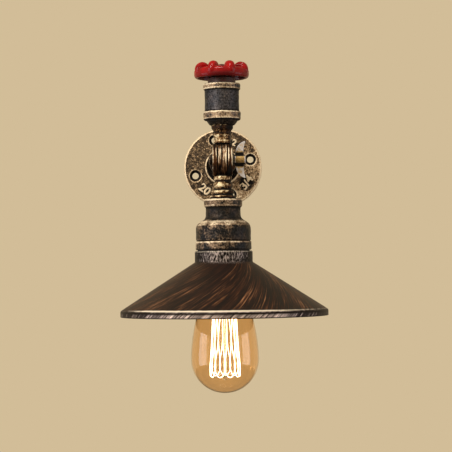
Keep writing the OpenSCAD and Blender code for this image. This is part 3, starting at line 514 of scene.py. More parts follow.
def fork_paint(point, wax):
    """A band of painted light on the ear rims with painted shade above and below it, a dark line along them,
    dark gaps between the ears, an arm that grows darker towards the wall, and painted shade at the lower
    right.
    """
    ear_rim = between(math.hypot(point.y + LAMP_OUT, point.z), 13.6, 14.6)
    # a band of painted light on the ear rims, with painted shade above and below it
    wax += (0.6 * lit_band(point.z) - 0.35) * ear_rim * between(abs(point.x), 9.6, 9.0)
    # the arm is darker towards the wall, and painted shade lies at the lower right
    wax -= 0.9 * between(point.y, -108, -104) + 0.8 * between(point.x, -1, 3) * between(point.z, -6, -10)
    wax -= 0.7 * between(abs(abs(point.x) - 7.2), 0.9, 0.3) * ear_rim
    wax -= 2 * between(abs(point.x), 5.5, 5.15) * between(point.y, -97, -98)
    return limited(wax)


def nut_paint(point, wax):
    """Painted shade at the roots of the two wings; the wings are rubbed and the hub is half rubbed."""
    from_bolt = math.hypot(point.y + LAMP_OUT, point.z)
    # painted shade at the roots of the wings, close to the hub
    root_shade = between(abs(point.z), 3.0, 3.9) * between(from_bolt, 7.0, 6.3)
    wax += 0.4 * between(from_bolt, 7, 8.5) - 0.05 * between(abs(point.z), 2.6, 1.4)
    return limited(wax + 0.1 - 1.8 * root_shade)


def wheel_shade_paint(point, _):
    """How much painted shade the red gets: under the wheel, inside its rim, and on the lower half of its wall,
    most at the front.
    """
    reach = math.hypot(point.x, point.y + LAMP_OUT)
    # painted shade under the wheel and on the lower half of its wall, most at the front
    painted_shade = 0.5 * between(point.z, 84.5, 82.0) * between(reach, 24.0, 23.2)
    return max(painted_shade, (0.3 + 0.4 * between(abs(point.x), 15, 9)) * between(point.z, 82.0, 79.8))


fork = casting("knuckle_fork", "fork", "wall_side", 0.4, passes=9, rough=0.1, paint=fork_paint)
wing_nut = casting("wing_nut_cast", "wing_nut", "wing_nut", 0.25, rough=0.05, ground=0.4,
                   paint=nut_paint)
handwheel = casting("tap_handwheel", "handwheel", "handwheel", 0.4, passes=5, rough=0.1,
                    paint=wheel_shade_paint)

# %% [markdown]
# The tongue between the ears is a disc with soft shoulders and a shallow groove round its rim, and a threaded
# stud stands on it at the top and the bottom. It is turned on the bolt's axis, and the stud on the lamp's axis
# joins it as a second spun shape.

# %% Tongue
disc = spun([
    (0, -4.9, 0, -1), (13.4, -4.9, 0.4, -1), (14.9, -4.5, 0.6, 0.2), (15.0, -3.2, 0.9, 0.9),
    (15.0, -1.6, 0.6, 0.9), (14.5, -0.9, 0.3, -0.5), (14.6, -0.2, 0.3, 0.3), (15.0, 0.6, 0.6, 0.9),
    (15.0, 3.4, 0.9, 0.9), (14.9, 4.5, 0.6, 0.2), (13.4, 4.9, 0.4, -1), (0, 4.9, 0, -1),
], closed=False, step=0.6)
roughen(disc, 0.08)
bmesh.ops.transform(disc, matrix=TO_BOLT, verts=disc.verts)
disc_wax = disc.verts.layers.float["wax"]
for vert in disc.verts:
    # a band of painted light just above the bolt, and painted shade above and below it
    vert[disc_wax] += 0.45 * lit_band(vert.co.z / MM) - 0.5
stud = spun([(0, -38.8, 0, -1), (4.85, -38.8, 0.4, -1), (4.85, 41.2, 0.4, -1), (0, 41.2, 0, -1)],
            closed=False, steps=48, step=8)
bmesh.ops.transform(stud, matrix=TO_LAMP, verts=stud.verts)
tongue = add_piece("knuckle_tongue", joined(disc, stud), "lamp", ["tongue"])

# %% [markdown]
# The pivot bolt has a low round head with a hexagon socket. Its dome is spun, and the socket is a six-sided
# hole that a bridge of faces joins to the dome.

# %% Pivot bolt
SOCKET_RADIUS, SOCKET_RIM, SOCKET_DEPTH = 2.31, -12.9, 2.4
SOCKET_SIDES, DOME_STEPS = 6, 96


def bolt_shape():
    """The bolt from its dome, with the socket sunk into it, to its plain end."""
    shape = spun([
        (3.6, -13.1, 0.3, 0.1), (4.6, -12.6, 0.6, 0.8), (5.25, -10.8, 0.8, 0.2), (5.25, -9.3, 0.2, -0.4),
        (3.0, -9.3, 0, 0), (3.0, 22.2, 0, 0), (2.6, 22.6, 0, 0), (0, 22.6, 0, 0),
    ], closed=False, steps=DOME_STEPS)
    rim = [e for e in shape.edges if len(e.link_faces) == 1 and e.verts[0].co.z < -12 * MM]
    ring = bmesh.ops.create_circle(shape, cap_ends=False, segments=SOCKET_SIDES,
                                   radius=SOCKET_RADIUS * MM)["verts"]
    bmesh.ops.translate(shape, vec=(0, 0, SOCKET_RIM * MM), verts=ring)
    sides = list({e for v in ring for e in v.link_edges})
    split = bmesh.ops.subdivide_edges(shape, edges=sides, cuts=DOME_STEPS // SOCKET_SIDES - 1)["geom_split"]
    sides = [e for e in split if isinstance(e, bmesh.types.BMEdge)]
    bmesh.ops.bridge_loops(shape, edges=rim + sides)
    deep = bmesh.ops.extrude_edge_only(shape, edges=sides)["geom"]
    floor = [g for g in deep if isinstance(g, bmesh.types.BMVert)]
    bmesh.ops.translate(shape, vec=(0, 0, SOCKET_DEPTH * MM), verts=floor)
    bmesh.ops.contextual_create(shape, geom=[g for g in deep if isinstance(g, bmesh.types.BMEdge)])
    bmesh.ops.recalc_face_normals(shape, faces=shape.faces)
    bmesh.ops.transform(shape, matrix=TO_BOLT, verts=shape.verts)
    return shape


bolt = add_piece("knuckle_bolt", bolt_shape(), "wall_side", ["pivot_bolt"], sharp=35)

# %% [markdown]
# The filament is one thin tungsten wire that runs up and down eighteen times round a cage. A curve with a
# round bevel is the plainest way to draw a wire. It is turned into a mesh at once, so that it can ride with
# the bulb as every other piece does. A glowing wire looks thicker than it is, so it is drawn 0.6 mm thick.

# %% Filament
CAGE = [(10.0, -133.7), (12.2, -170.0), (13.9, -202.7)]  # radius and height in mm, from the top down
FILAMENT_RUNS, FILAMENT_THICKNESS = 18, 0.6


def filament_path():
    """The wire's points: down one run of the cage and up the next."""
    path = []
    for run in range(FILAMENT_RUNS):
        turn = 2 * math.pi * (run + 0.5) / FILAMENT_RUNS
        for radius, height in CAGE if run % 2 == 0 else reversed(CAGE):
            path.append((radius * math.sin(turn), -radius * math.cos(turn), height))
    return path


def round_wire(path, thickness):
    """A wire of round section along a path, both in mm from the lamp's axis."""
    curve = bpy.data.curves.new("wire", "CURVE")
    curve.dimensions = "3D"
    curve.bevel_depth = thickness / 2 * MM
    curve.bevel_resolution = 2
    curve.resolution_u = 6
    spline = curve.splines.new("BEZIER")
    spline.bezier_points.add(len(path) - 1)
    for point, place in zip(spline.bezier_points, path):
        point.co = Vector(place) * MM + LAMP_AXIS
        point.handle_left_type = point.handle_right_type = "AUTO"
    return shape_of_curve(curve)


filament = add_piece("tungsten_filament", round_wire(filament_path(), FILAMENT_THICKNESS),
                     "bulb", ["filament"], sharp=180)

# %% [markdown]
# Now the finishes. Every colour is written as the sRGB hex value that a paint card would give, and one
# function turns it to the linear numbers that shaders need. One more small function adds a node with its
# settings and its links, so each material reads as a short recipe.

# %% Colour and node helpers
def colour(code):
    """Linear RGBA from an sRGB hex value."""
    parts = [int(code[i:i + 2], 16) / 255 for i in (1, 3, 5)]
    return [p / 12.92 if p <= 0.04045 else ((p + 0.055) / 1.055) ** 2.4 for p in parts] + [1]


def add_node(owner, kind, inputs=None, ramp=(), span=(), **settings):
    """Adds one shader node to a material or a world. Inputs are values or sockets. ramp lists (position, value
    or colour). span is the two ends of a range and, where it isn't 0 to 1, what they become."""
    made = owner.node_tree.nodes.new("ShaderNode" + kind)
    for name, value in settings.items():
        setattr(made, name, value)
    for count, (position, tone) in enumerate(ramp):
        stops = made.color_ramp.elements
        stop = stops[count] if count < 2 else stops.new(position)
        stop.position = position
        stop.color = tone if isinstance(tone, list) else [tone] * 3 + [1]
    for name, value in zip(("From Min", "From Max", "To Min", "To Max"), span):
        made.inputs[name].default_value = value
    for name, value in (inputs or {}).items():
        if isinstance(value, bpy.types.NodeSocket):
            owner.node_tree.links.new(value, made.inputs[name])
        else:
            made.inputs[name].default_value = value
    return made


def connect(owner, output, socket):
    """Links two sockets of a material or a world."""
    owner.node_tree.links.new(output, socket)


def new_material(name, **values):
    """A material and its Principled shader; values are set on the shader's own sockets."""
    material = bpy.data.materials.new(name)
    material.use_nodes = True
    shader = material.node_tree.nodes["Principled BSDF"]
    for socket, value in values.items():
        shader.inputs[socket.replace("_", " ")].default_value = value
    return material, shader


def dress(piece, material):
    """Gives a piece its finish."""
    piece.data.materials.append(material)
    print(f"{piece.name}: {material.name}, {len(material.node_tree.nodes)} nodes")


# %% [markdown]
# The fittings are iron and bronze that were blackened and then rubbed with a bronze wax. The wax stays on the
# raised edges and wears off the rest, and old hands leave darker and lighter patches. The recipe has four
# stages along one worn value, which is the wax of the shape with its painted light and shade, broken up by
# noise: soot and painted shade in the recesses, the dark ground with its patches, a brown half-worn film, and
# bright wax on the edges. Wax is a metal powder in a matte binder, so it is only half metallic, and the dark
# of soot and shade is not metallic at all; the ground is. A real casting grain is about half a millimetre,
# which is half a pixel in the picture, so it is drawn three times as coarse.

# %% Recipe of the aged metals
# The worn value at which each stage starts, and at which it is full.
FILM_STAGE, BRIGHT_STAGE, SOOT_AND_SHADE_STAGE = (0.28, 0.62), (0.68, 0.98), (-0.15, -0.75)


def aged_metal(name, ground, patina, film, bright, patch=7.0, grain=1.6, rough=(0.34, 0.6), broken=1.7,
               bump=0.2, right_shade=-0.35, right=20, stretch=(1, 1, 1)):
    """Painted shade on the right side lowers the wear, from nothing at a fifth of right mm beside the axis to
    its full amount at right mm. stretch scales the noise along X, Y and Z: a small number draws it out into
    streaks."""
    material, shader = new_material(name, Specular_IOR_Level=0.2)
    place = add_node(material, "TexCoord").outputs["Object"]
    drawn = add_node(material, "Mapping", {"Vector": place, "Scale": stretch}).outputs["Vector"]
    patches = add_node(material, "TexNoise", {"Vector": drawn, "Scale": 1000 / patch, "Detail": 5.0,
                                              "Roughness": 0.65}).outputs["Fac"]
    grains = add_node(material, "TexNoise", {"Vector": drawn, "Scale": 1000 / grain, "Detail": 3.0,
                                             "Roughness": 0.7}).outputs["Fac"]
    spread = add_node(material, "ValToRGB", {"Fac": patches}, ramp=[(0.42, 0.0), (0.6, 1.0)])
    speckle = add_node(material, "ValToRGB", {"Fac": grains}, ramp=[(0.38, 0.2), (0.58, 1.0)])
    under = add_node(material, "Mix", {"Factor": spread.outputs["Color"], "A": colour(ground),
                                       "B": colour(patina)}, data_type="RGBA")
    coat = add_node(material, "Mix", {"Factor": 1.0, "A": under.outputs["Result"],
                                      "B": speckle.outputs["Color"]},
                    data_type="RGBA", blend_type="MULTIPLY").outputs["Result"]
    wax = add_node(material, "Attribute", attribute_name="wax").outputs["Fac"]
    both = add_node(material, "Math", {0: grains, 1: patches}, operation="ADD")
    shifted = add_node(material, "Math", {0: both.outputs[0], 1: broken, 2: -broken}, operation="MULTIPLY_ADD")
    split = add_node(material, "SeparateXYZ", {"Vector": place})
    # painted shade on the right side: the wear falls from a fifth of right mm to right mm beside the axis
    right_side_shade = add_node(material, "MapRange", {"Value": split.outputs["X"]},
                       span=(0.2 * right * MM, right * MM, 0.0, right_shade))
    uneven = add_node(material, "Math", {0: wax, 1: shifted.outputs[0]}, operation="ADD")
    worn = add_node(material, "Math", {0: uneven.outputs[0], 1: right_side_shade.outputs["Result"]},
                    operation="ADD").outputs[0]
    # the last stage paints soot and painted shade in one dark colour
    for code, stage in [(film, FILM_STAGE), (bright, BRIGHT_STAGE), ("#0d0b0a", SOOT_AND_SHADE_STAGE)]:
        share = add_node(material, "MapRange", {"Value": worn}, span=stage).outputs["Result"]
        coat = add_node(material, "Mix", {"Factor": share, "A": coat, "B": colour(code)},
                        data_type="RGBA").outputs["Result"]
    soot_and_shade = share
    gloss = add_node(material, "MapRange", {"Value": grains}, span=(0.3, 0.7, *rough))
    duller = add_node(material, "Math", {0: soot_and_shade, 1: 0.3, 2: gloss.outputs["Result"]},
                      operation="MULTIPLY_ADD")
    bare = add_node(material, "ValToRGB", {"Fac": worn}, ramp=[(0.0, 0.85), (0.95, 0.4)])
    clean = add_node(material, "Math", {0: 1.0, 1: soot_and_shade}, operation="SUBTRACT")
    metallic = add_node(material, "Math", {0: bare.outputs["Color"], 1: clean.outputs[0]},
                        operation="MULTIPLY")
    relief = add_node(material, "Bump", {"Height": grains, "Distance": bump * MM, "Strength": 1.0})
    connect(material, coat, shader.inputs["Base Color"])
    connect(material, duller.outputs[0], shader.inputs["Roughness"])
    connect(material, metallic.outputs[0], shader.inputs["Metallic"])
    connect(material, relief.outputs["Normal"], shader.inputs["Normal"])
    return material


# %% [markdown]
# Each metal is that recipe with four colours, from the ground to the bright wax. Gunmetal is a cold grey, and
# malleable iron is blacker. Cast bronze is dark brown, and on the knuckle the wax lies in streaks. The
# flange's brass is pale, with a rough grain. Zinc plate has a yellow film and silvery edges, and browned steel
# and pipe brass stay dull.

# %% Waxed and aged metals
blackened_iron = aged_metal("blackened_malleable_iron", "#2c2d2f", "#463d37", "#8c7660", "#f6e4c4", patch=8)
gun_iron = aged_metal("gunmetal_iron", "#3b3d44", "#5b585c", "#9c846a", "#f6e6c8", patch=12)
waxed_bronze = aged_metal("waxed_cast_bronze", "#211815", "#4e3526", "#86643f", "#f6e6bc", patch=5,
                          broken=2.2, right_shade=-0.6, right=8)
knuckle_bronze = aged_metal("rubbed_cast_bronze", "#241a15", "#5c3820", "#7c5a3c", "#f4e4c6", patch=4,
                            broken=2.4, right_shade=0.0, stretch=(1.5, 0.15, 0.15))
antique_brass = aged_metal("antique_cast_brass", "#4c4136", "#7f6c54", "#b99c78", "#f3dfbc", patch=3.0,
                           grain=1.2, rough=(0.42, 0.66), broken=2.2, bump=0.35, right_shade=0.0)
aged_zinc = aged_metal("aged_zinc_plate", "#403b38", "#7c746a", "#c2a064", "#d6d3d4", patch=5, broken=1.0,
                       right_shade=0.0)
old_steel = aged_metal("browned_steel", "#1d1a18", "#2f2822", "#4c4034", "#8f7d66", patch=5)
pipe_brass = aged_metal("pipe_brass", "#2e261c", "#4a3b28", "#6d5738", "#b59a68", patch=6)

for piece, finish in [
    (coupling, gun_iron), (upper_bush, blackened_iron), (reducer, blackened_iron),
    (upper_neck, waxed_bronze), (lower_neck, waxed_bronze), (lower_bush, waxed_bronze), (fork, knuckle_bronze),
    (tongue, knuckle_bronze), (flange, antique_brass), (wing_nut, aged_zinc), (bolt, old_steel),
]:
    dress(piece, finish)

# %% [markdown]
# The handwheel is a zinc casting dipped in red enamel paint. Enamel is a smooth coloured coat under a clear
# gloss, so it needs a coat on top of a slightly rough base, and a shallow orange-peel waviness. The wax of the
# shape tells here how much painted shade the red gets.

# %% Red enamel
def enamel_paint():
    """Blotchy red paint with painted shade where the shape's wax says so."""
    material, shader = new_material("red_enamel_paint", Roughness=0.5, Specular_IOR_Level=0.1, Coat_Weight=0.3,
                                    Coat_Roughness=0.06)
    place = add_node(material, "TexCoord").outputs["Object"]
    blotches = add_node(material, "TexNoise", {"Vector": place, "Scale": 1000 / 12, "Detail": 4.0})
    tone = add_node(material, "ValToRGB", {"Fac": blotches.outputs["Fac"]},
                    ramp=[(0.35, colour("#7d0206")), (0.65, colour("#b0050a"))])
    painted_shade = add_node(material, "Attribute", attribute_name="wax").outputs["Fac"]
    # painted shade: a dark maroon where the wax is high
    painted = add_node(material, "Mix", {"Factor": painted_shade, "A": tone.outputs["Color"],
                                         "B": colour("#3c050b")}, data_type="RGBA")
    peel = add_node(material, "TexNoise", {"Vector": place, "Scale": 1000 / 2.5, "Detail": 2.0})
    relief = add_node(material, "Bump", {"Height": peel.outputs["Fac"], "Distance": 0.06 * MM,
                                         "Strength": 0.7})
    connect(material, painted.outputs["Result"], shader.inputs["Base Color"])
    connect(material, relief.outputs["Normal"], shader.inputs["Normal"])
    return material


dress(handwheel, enamel_paint())

# %% [markdown]
# The shade is dark steel with a copper lacquer that was brushed by hand in long spirals from the neck to the
# rim. The strokes follow the spiral, so the pattern needs its own coordinates. The angle round the axis grows
# with the logarithm of the radius. On the upright rim the radius stands still, so there the angle grows with
# the depth below the crease, which tilts the strokes to the right.

# %% Spiral coordinates
SPIRAL_START = 27  # mm from the axis, at the shade's neck
SPIRAL_SWEEP = 0.76  # radians of turn while the radius grows e times
CREASE_HEIGHT = -140.5  # mm, where the upright rim begins
RIM_LEAN = -12.0  # radians of turn for each metre of height on the rim


def spiral(material):
    """The turn of the spiral through a point, in radians, and the point's distance from the lamp's axis."""
    place = add_node(material, "TexCoord").outputs["Object"]
    centred = add_node(material, "Mapping", {"Vector": place, "Location": (0, LAMP_OUT * MM, 0)})
    split = add_node(material, "SeparateXYZ", {"Vector": centred.outputs["Vector"]})
    front = add_node(material, "Math", {0: split.outputs["Y"], 1: -1.0}, operation="MULTIPLY")
    angle = add_node(material, "Math", {0: split.outputs["X"], 1: front.outputs[0]}, operation="ARCTAN2")
    flat = add_node(material, "CombineXYZ", {"X": split.outputs["X"], "Y": split.outputs["Y"]})
    radius = add_node(material, "VectorMath", {0: flat.outputs["Vector"]}, operation="LENGTH").outputs["Value"]
    ratio = add_node(material, "Math", {0: radius, 1: SPIRAL_START * MM}, operation="DIVIDE")
    growth = add_node(material, "Math", {0: ratio.outputs[0], 1: math.e}, operation="LOGARITHM")
    swept = add_node(material, "Math", {0: growth.outputs[0], 1: SPIRAL_SWEEP, 2: angle.outputs[0]},
                     operation="MULTIPLY_ADD")
    below = add_node(material, "Math", {0: split.outputs["Z"], 1: -CREASE_HEIGHT * MM}, operation="ADD")
    fold = add_node(material, "Math", {0: below.outputs[0], 1: 0.0}, operation="MINIMUM")
    turned = add_node(material, "Math", {0: fold.outputs[0], 1: RIM_LEAN, 2: swept.outputs[0]},
                      operation="MULTIPLY_ADD")
    return turned.outputs[0], radius


# %% [markdown]
# A noise that is stretched along the spiral draws the strokes. The turn is laid on a circle, so that no seam
# shows behind the shade. Two sets of narrow strokes are laid over each other, and broad bands make them
# stronger and weaker.

# %% Strokes
FINE, MEDIUM, BROAD, ON_RIM = 430, 300, 60, 900  # strokes round the axis


def spiral_strokes(material, turn, radius, around, along, seed, detail=3.0, rough=0.7):
    """Noise along the spirals: around is how many strokes go round the axis, along is their length in mm."""
    across = add_node(material, "Math", {0: turn}, operation="COSINE")
    beside = add_node(material, "Math", {0: turn}, operation="SINE")
    circle = add_node(material, "CombineXYZ", {"X": across.outputs[0], "Y": beside.outputs[0]})
    wide = add_node(material, "VectorMath", {0: circle.outputs["Vector"], "Scale": around / (2 * math.pi)},
                    operation="SCALE")
    length = add_node(material, "Math", {0: radius, 1: 1000 / along, 2: seed}, operation="MULTIPLY_ADD")
    outwards = add_node(material, "CombineXYZ", {"Z": length.outputs[0]})
    drawn = add_node(material, "VectorMath", {0: wide.outputs["Vector"], 1: outwards.outputs["Vector"]},
                     operation="ADD")
    return add_node(material, "TexNoise", {"Vector": drawn.outputs["Vector"], "Scale": 1.0, "Detail": detail,
                                           "Roughness": rough}).outputs["Fac"]


copper, copper_shader = new_material("brushed_copper_lacquer", Metallic=0.5, Specular_IOR_Level=0.15)
turn, radius = spiral(copper)
fine_strokes = spiral_strokes(copper, turn, radius, FINE, 40, 0.0)
medium_strokes = spiral_strokes(copper, turn, radius, MEDIUM, 30, 3.0)
bands = spiral_strokes(copper, turn, radius, BROAD, 40, 7.0, rough=0.5)
both = add_node(copper, "Math", {0: fine_strokes, 1: medium_strokes}, operation="MAXIMUM")
thin = add_node(copper, "ValToRGB", {"Fac": both.outputs[0]}, ramp=[(0.54, 0.0), (0.68, 1.0)])
broad = add_node(copper, "ValToRGB", {"Fac": bands}, ramp=[(0.36, 0.35), (0.62, 1.0)])
painted = add_node(copper, "Math", {0: thin.outputs["Color"], 1: broad.outputs["Color"]},
                   operation="MULTIPLY")
lacquer = add_node(copper, "ValToRGB", {"Fac": painted.outputs[0]}, ramp=[
    (0.0, colour("#211a18")), (1.0, colour("#c48c62")), (0.4, colour("#4e3022"))]).outputs["Color"]
print("Strokes round the shade:", FINE, "fine,", MEDIUM, "medium and", BROAD, "broad")

# %% [markdown]
# The neck was left dark, with silvery flecks about 0.8 mm wide and 3 mm high. The rim has pale strokes of
# its own. Both get painted shade towards the left and the right, where they grow fewer. So each of them is a
# noise that loses a little with the distance from the middle, and is then cut in two tones.

# %% Neck and rim
place = add_node(copper, "TexCoord").outputs["Object"]
split = add_node(copper, "SeparateXYZ", {"Vector": place})
right, height = split.outputs["X"], split.outputs["Z"]
from_middle = add_node(copper, "Math", {0: right}, operation="ABSOLUTE").outputs[0]


def two_tones(pattern, start, end, loss, ramp):
    """A noise cut in two tones, with painted shade towards the sides: less of the second from start to end mm
    beside the middle.
    """
    # painted shade towards the sides: the noise loses up to loss from start to end mm beside the middle
    side_shade = add_node(copper, "MapRange", {"Value": from_middle}, span=(start * MM, end * MM, 0.0, -loss))
    fewer = add_node(copper, "Math", {0: pattern, 1: side_shade.outputs["Result"]}, operation="ADD")
    return add_node(copper, "ValToRGB", {"Fac": fewer.outputs[0]}, ramp=ramp).outputs["Color"]


upright = add_node(copper, "Mapping", {"Vector": place, "Scale": (1300, 1300, 320)}).outputs["Vector"]
flecks = add_node(copper, "TexNoise", {"Vector": upright, "Scale": 1.0, "Detail": 3.0}).outputs["Fac"]
silver = two_tones(flecks, 14, 24, 0.14, [(0.47, colour("#1a1614")), (0.64, colour("#b8aaa4"))])
rim_noise = spiral_strokes(copper, turn, radius, ON_RIM, 40, 5.0, detail=2.0, rough=0.5)
rim_strokes = two_tones(rim_noise, 45, 88, 0.17, [(0.46, colour("#241d1b")), (0.6, colour("#f2ded4"))])
on_neck = add_node(copper, "MapRange", {"Value": height}, span=(-98.5 * MM, -95.5 * MM))
on_rim = add_node(copper, "MapRange", {"Value": height}, span=(-140.0 * MM, -141.2 * MM))
print("Shade's nodes so far:", len(copper.node_tree.nodes))

# %% [markdown]
# The crease above the rim gets a painted highlight, in streaks, weaker at the right and the far left. The wax
# of the outline says where it lies, two ranges take wax away there, and the fine strokes break it up. Where
# that wax is below zero, under the crease and round the rim's foot, the steel gets painted shade.

# %% Rubbed crease and finish of the shade
rim_wax = add_node(copper, "Attribute", attribute_name="wax").outputs["Fac"]
highlight_wax = rim_wax
# the painted highlight weakens towards the right and the far left
for start, end, loss in [(20, 85, 0.75), (-66, -90, 0.9)]:
    highlight_falloff = add_node(copper, "MapRange", {"Value": right}, span=(start * MM, end * MM, 0.0, -loss))
    highlight_wax = add_node(copper, "Math", {0: highlight_wax, 1: highlight_falloff.outputs["Result"]}, operation="ADD").outputs[0]
broken_wax = add_node(copper, "Math", {0: fine_strokes, 1: 1.2, 2: -0.6}, operation="MULTIPLY_ADD")
streaky = add_node(copper, "Math", {0: highlight_wax, 1: broken_wax.outputs[0]}, operation="ADD")
# painted highlight on the crease, broken by the fine strokes
painted_highlight = add_node(copper, "MapRange", {"Value": streaky.outputs[0]}, span=(0.4, 0.9))
# painted shade under the crease and round the rim's foot
painted_fold_shade = add_node(copper, "MapRange", {"Value": rim_wax}, span=(0.0, -0.8))
face = lacquer
for share, over in [(on_neck, silver), (on_rim, rim_strokes), (painted_highlight, colour("#fff4e0")),
                    (painted_fold_shade, colour("#17110e"))]:
    face = add_node(copper, "Mix", {"Factor": share.outputs["Result"], "A": face, "B": over},
                    data_type="RGBA").outputs["Result"]
gloss = add_node(copper, "MapRange", {"Value": fine_strokes}, span=(0.0, 1.0, 0.42, 0.62))
relief = add_node(copper, "Bump", {"Height": fine_strokes, "Distance": 0.1 * MM, "Strength": 1.0})
connect(copper, face, copper_shader.inputs["Base Color"])
connect(copper, gloss.outputs["Result"], copper_shader.inputs["Roughness"])
connect(copper, relief.outputs["Normal"], copper_shader.inputs["Normal"])
dress(shade, copper)

# %% [markdown]
# The bulb is soda-lime glass with a thin amber tint, blown smooth. Its stem is clear glass. The wire glows
# white-hot, so its colour is an emission, with a faint grey for the metal under it.

# %% Glass and glow
amber_glass, _ = new_material("amber_soda_glass", Base_Color=colour("#fae3c2"), Roughness=0.02,
                              Transmission_Weight=1.0, IOR=1.5)
clear_glass, _ = new_material("clear_lead_glass", Base_Color=colour("#eef2ee"), Roughness=0.03,
                              Transmission_Weight=1.0, IOR=1.5)
glow, _ = new_material("glowing_tungsten", Base_Color=colour("#8a8a88"), Metallic=1.0, Roughness=0.4,
                       Emission_Color=colour("#fff2e0"), Emission_Strength=7.5)
dress(glass, amber_glass)
dress(filament, glow)

# %% [markdown]
# The pieces inside the lampholder, on the tap and on the bolt, and the pipe to the wall, are carried over from
# the CAD model as they are. Each gets the material that such a piece usually has. Moulded plastic, porcelain,
# rubber, drawn metal and painted steel get two close tones and a fine relief, so that none of them is a flat
# colour. Their shine tells them apart: porcelain is the smoothest and rubber the dullest.

# %% Materials of the carried-over pieces
def fine_surface(name, first, second, size, rough, bump, **values):
    """A plain material with a two-tone noise and a fine relief: size and bump in mm."""
    material, shader = new_material(name, **values)
    place = add_node(material, "TexCoord").outputs["Object"]
    grains = add_node(material, "TexNoise", {"Vector": place, "Scale": 1000 / size,
                                             "Detail": 4.0}).outputs["Fac"]
    tone = add_node(material, "ValToRGB", {"Fac": grains},
                    ramp=[(0.35, colour(first)), (0.65, colour(second))])
    gloss = add_node(material, "MapRange", {"Value": grains}, span=(0.0, 1.0, rough - 0.08, rough + 0.08))
    relief = add_node(material, "Bump", {"Height": grains, "Distance": bump * MM, "Strength": 0.8})
    connect(material, tone.outputs["Color"], shader.inputs["Base Color"])
    connect(material, gloss.outputs["Result"], shader.inputs["Roughness"])
    connect(material, relief.outputs["Normal"], shader.inputs["Normal"])
    return material


phenolic = fine_surface("moulded_black_phenolic", "#1d1917", "#2b2522", 1.2, 0.35, 0.03)
porcelain = fine_surface("glazed_porcelain", "#e6dfd0", "#f2ede2", 4.0, 0.2, 0.05)
rubber = fine_surface("black_rubber", "#141312", "#211f1d", 0.6, 0.75, 0.05)
bright_brass = fine_surface("drawn_brass", "#b98f4a", "#d9b56e", 1.0, 0.3, 0.02, Metallic=1.0)
nickel_wire = fine_surface("nickel_wire", "#8d8a84", "#b5b1a9", 0.5, 0.35, 0.01, Metallic=1.0)
tin_solder = fine_surface("tin_solder", "#9a9a98", "#c4c4c0", 0.8, 0.4, 0.05, Metallic=1.0)
red_steel = fine_surface("red_washed_steel", "#3a0c0d", "#6b1214", 2.0, 0.5, 0.05)
plated_steel = aged_metal("plated_steel", "#5d574f", "#857c70", "#a39a8d", "#d8d0c4", patch=4, grain=0.8)
dress(bonnet, fine_surface("dark_red_wash", "#1c0708", "#4c1012", 2.0, 0.5, 0.05))

carried_over = {
    "wall_nipple": pipe_brass, "plain_washer": plated_steel, "spring_washer": plated_steel,
    "gland_nut": pipe_brass, "tap_stem": pipe_brass, "wheel_washer": red_steel, "wheel_screw": red_steel,
    "threaded_tube": pipe_brass, "tube_nut": plated_steel, "holder_cap": phenolic, "holder_sleeve": phenolic,
    "holder_core": porcelain, "screw_shell": bright_brass, "centre_contact": bright_brass, "gasket": rubber,
    "shade_ring": phenolic, "bulb_cap": bright_brass, "cap_insulator": phenolic, "cap_contact": tin_solder,
    "glass_stem": clear_glass, "filament_supports": nickel_wire,
}
for node, finish in carried_over.items():
    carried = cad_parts[node]
    carried.data.materials.clear()
    carried.data.materials.append(finish)
print("Carried over:", len(carried_over), "nodes of", len(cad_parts))

# %% [markdown]
# The studio is plain. The world is a pale sand colour for the camera, for metal and for glass, and a softer
# grey fills the shadows.

# %% Background
world = bpy.data.worlds.new("studio")
world.use_nodes = True
scene.world = world
backdrop = world.node_tree.nodes["Background"]
backdrop.inputs["Color"].default_value = colour("#d2bd98")
ambient = add_node(world, "Background", {"Color": colour("#e8e4de"), "Strength": 0.32})
rays = add_node(world, "LightPath").outputs
seen = rays["Is Camera Ray"]
for kind in ("Is Glossy Ray", "Is Transmission Ray"):
    seen = add_node(world, "Math", {0: seen, 1: rays[kind]}, operation="MAXIMUM").outputs[0]
chosen = add_node(world, "MixShader", {"Fac": seen, 1: ambient.outputs[0], 2: backdrop.outputs[0]})
connect(world, chosen.outputs[0], world.node_tree.nodes["World Output"].inputs["Surface"])
print("Background nodes:", len(world.node_tree.nodes))

# %% [markdown]
# The floor lies far below, so that the light hangs free in the picture. No lamp reaches it well, so it glows a
# little for the camera alone and lights nothing.

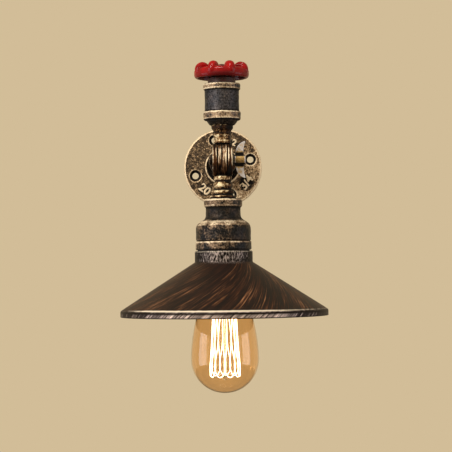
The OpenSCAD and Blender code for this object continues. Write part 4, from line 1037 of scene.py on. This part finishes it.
# %% Floor
FLOOR_RADIUS, FLOOR_HEIGHT = 3.0, -1.1  # metres
FLOOR_GLOW = 0.6
ground = bmesh.new()
bmesh.ops.create_circle(ground, cap_ends=True, segments=96, radius=FLOOR_RADIUS)
bmesh.ops.translate(ground, vec=(0, -LAMP_OUT * MM, FLOOR_HEIGHT), verts=ground.verts)
floor_mesh = bpy.data.meshes.new("floor")
ground.to_mesh(floor_mesh)
ground.free()
floor = bpy.data.objects.new("floor", floor_mesh)
scene.collection.objects.link(floor)
plaster, plaster_shader = new_material("pale_plaster", Roughness=0.9)
cloud = add_node(plaster, "TexNoise", {"Vector": add_node(plaster, "TexCoord").outputs["Object"],
                                       "Scale": 3.0, "Detail": 3.0})
tone = add_node(plaster, "ValToRGB", {"Fac": cloud.outputs["Fac"]},
                ramp=[(0.3, colour("#c8b796")), (0.7, colour("#cfbf9f"))])
lit = add_node(plaster, "LightPath").outputs["Is Camera Ray"]
seen_pale = add_node(plaster, "Math", {0: lit, 1: FLOOR_GLOW}, operation="MULTIPLY")
connect(plaster, tone.outputs["Color"], plaster_shader.inputs["Base Color"])
connect(plaster, tone.outputs["Color"], plaster_shader.inputs["Emission Color"])
connect(plaster, seen_pale.outputs[0], plaster_shader.inputs["Emission Strength"])
dress(floor, plaster)

# %% [markdown]
# A soft box at the left front makes the golden glints on the beads and leaves their right side dark. A strip
# from the top front draws the bright upper edges, a weak fill opens the right side a little, and two wide soft
# boxes beside the object draw the upright reflections on the glass.

# %% Lamps
MIDDLE, BULB_MIDDLE = (0, -LAMP_OUT * MM, -0.06), (0, -LAMP_OUT * MM, -0.17)  # metres


def area_lamp(name, place, target, size, power, tint):
    """A rectangular lamp aimed at a target: places and size in metres, power in watts."""
    data = bpy.data.lights.new(name, "AREA")
    data.shape = "RECTANGLE"
    data.size, data.size_y = size
    data.energy = power
    data.color = colour(tint)[:3]
    lamp = bpy.data.objects.new(name, data)
    lamp.location = place
    lamp.rotation_euler = (Vector(target) - Vector(place)).to_track_quat("-Z", "Y").to_euler()
    scene.collection.objects.link(lamp)


area_lamp("key", (-1.0, -1.15, 0.5), MIDDLE, (0.45, 0.6), 13, "#fff6ea")
area_lamp("top", (-0.2, -0.8, 1.15), MIDDLE, (0.5, 0.3), 6, "#fff8ee")
area_lamp("fill", (1.0, -1.1, 0.1), MIDDLE, (0.5, 0.7), 1.2, "#fff4e6")
area_lamp("left_box", (-0.85, -0.25, -0.17), BULB_MIDDLE, (0.5, 0.5), 1.7, "#e4e4f6")
area_lamp("right_box", (0.85, -0.3, -0.17), BULB_MIDDLE, (0.5, 0.5), 1.4, "#e4e4f6")

# %% [markdown]
# The Standard view transform shows a colour as it was written.

scene.view_settings.view_transform = "Standard"
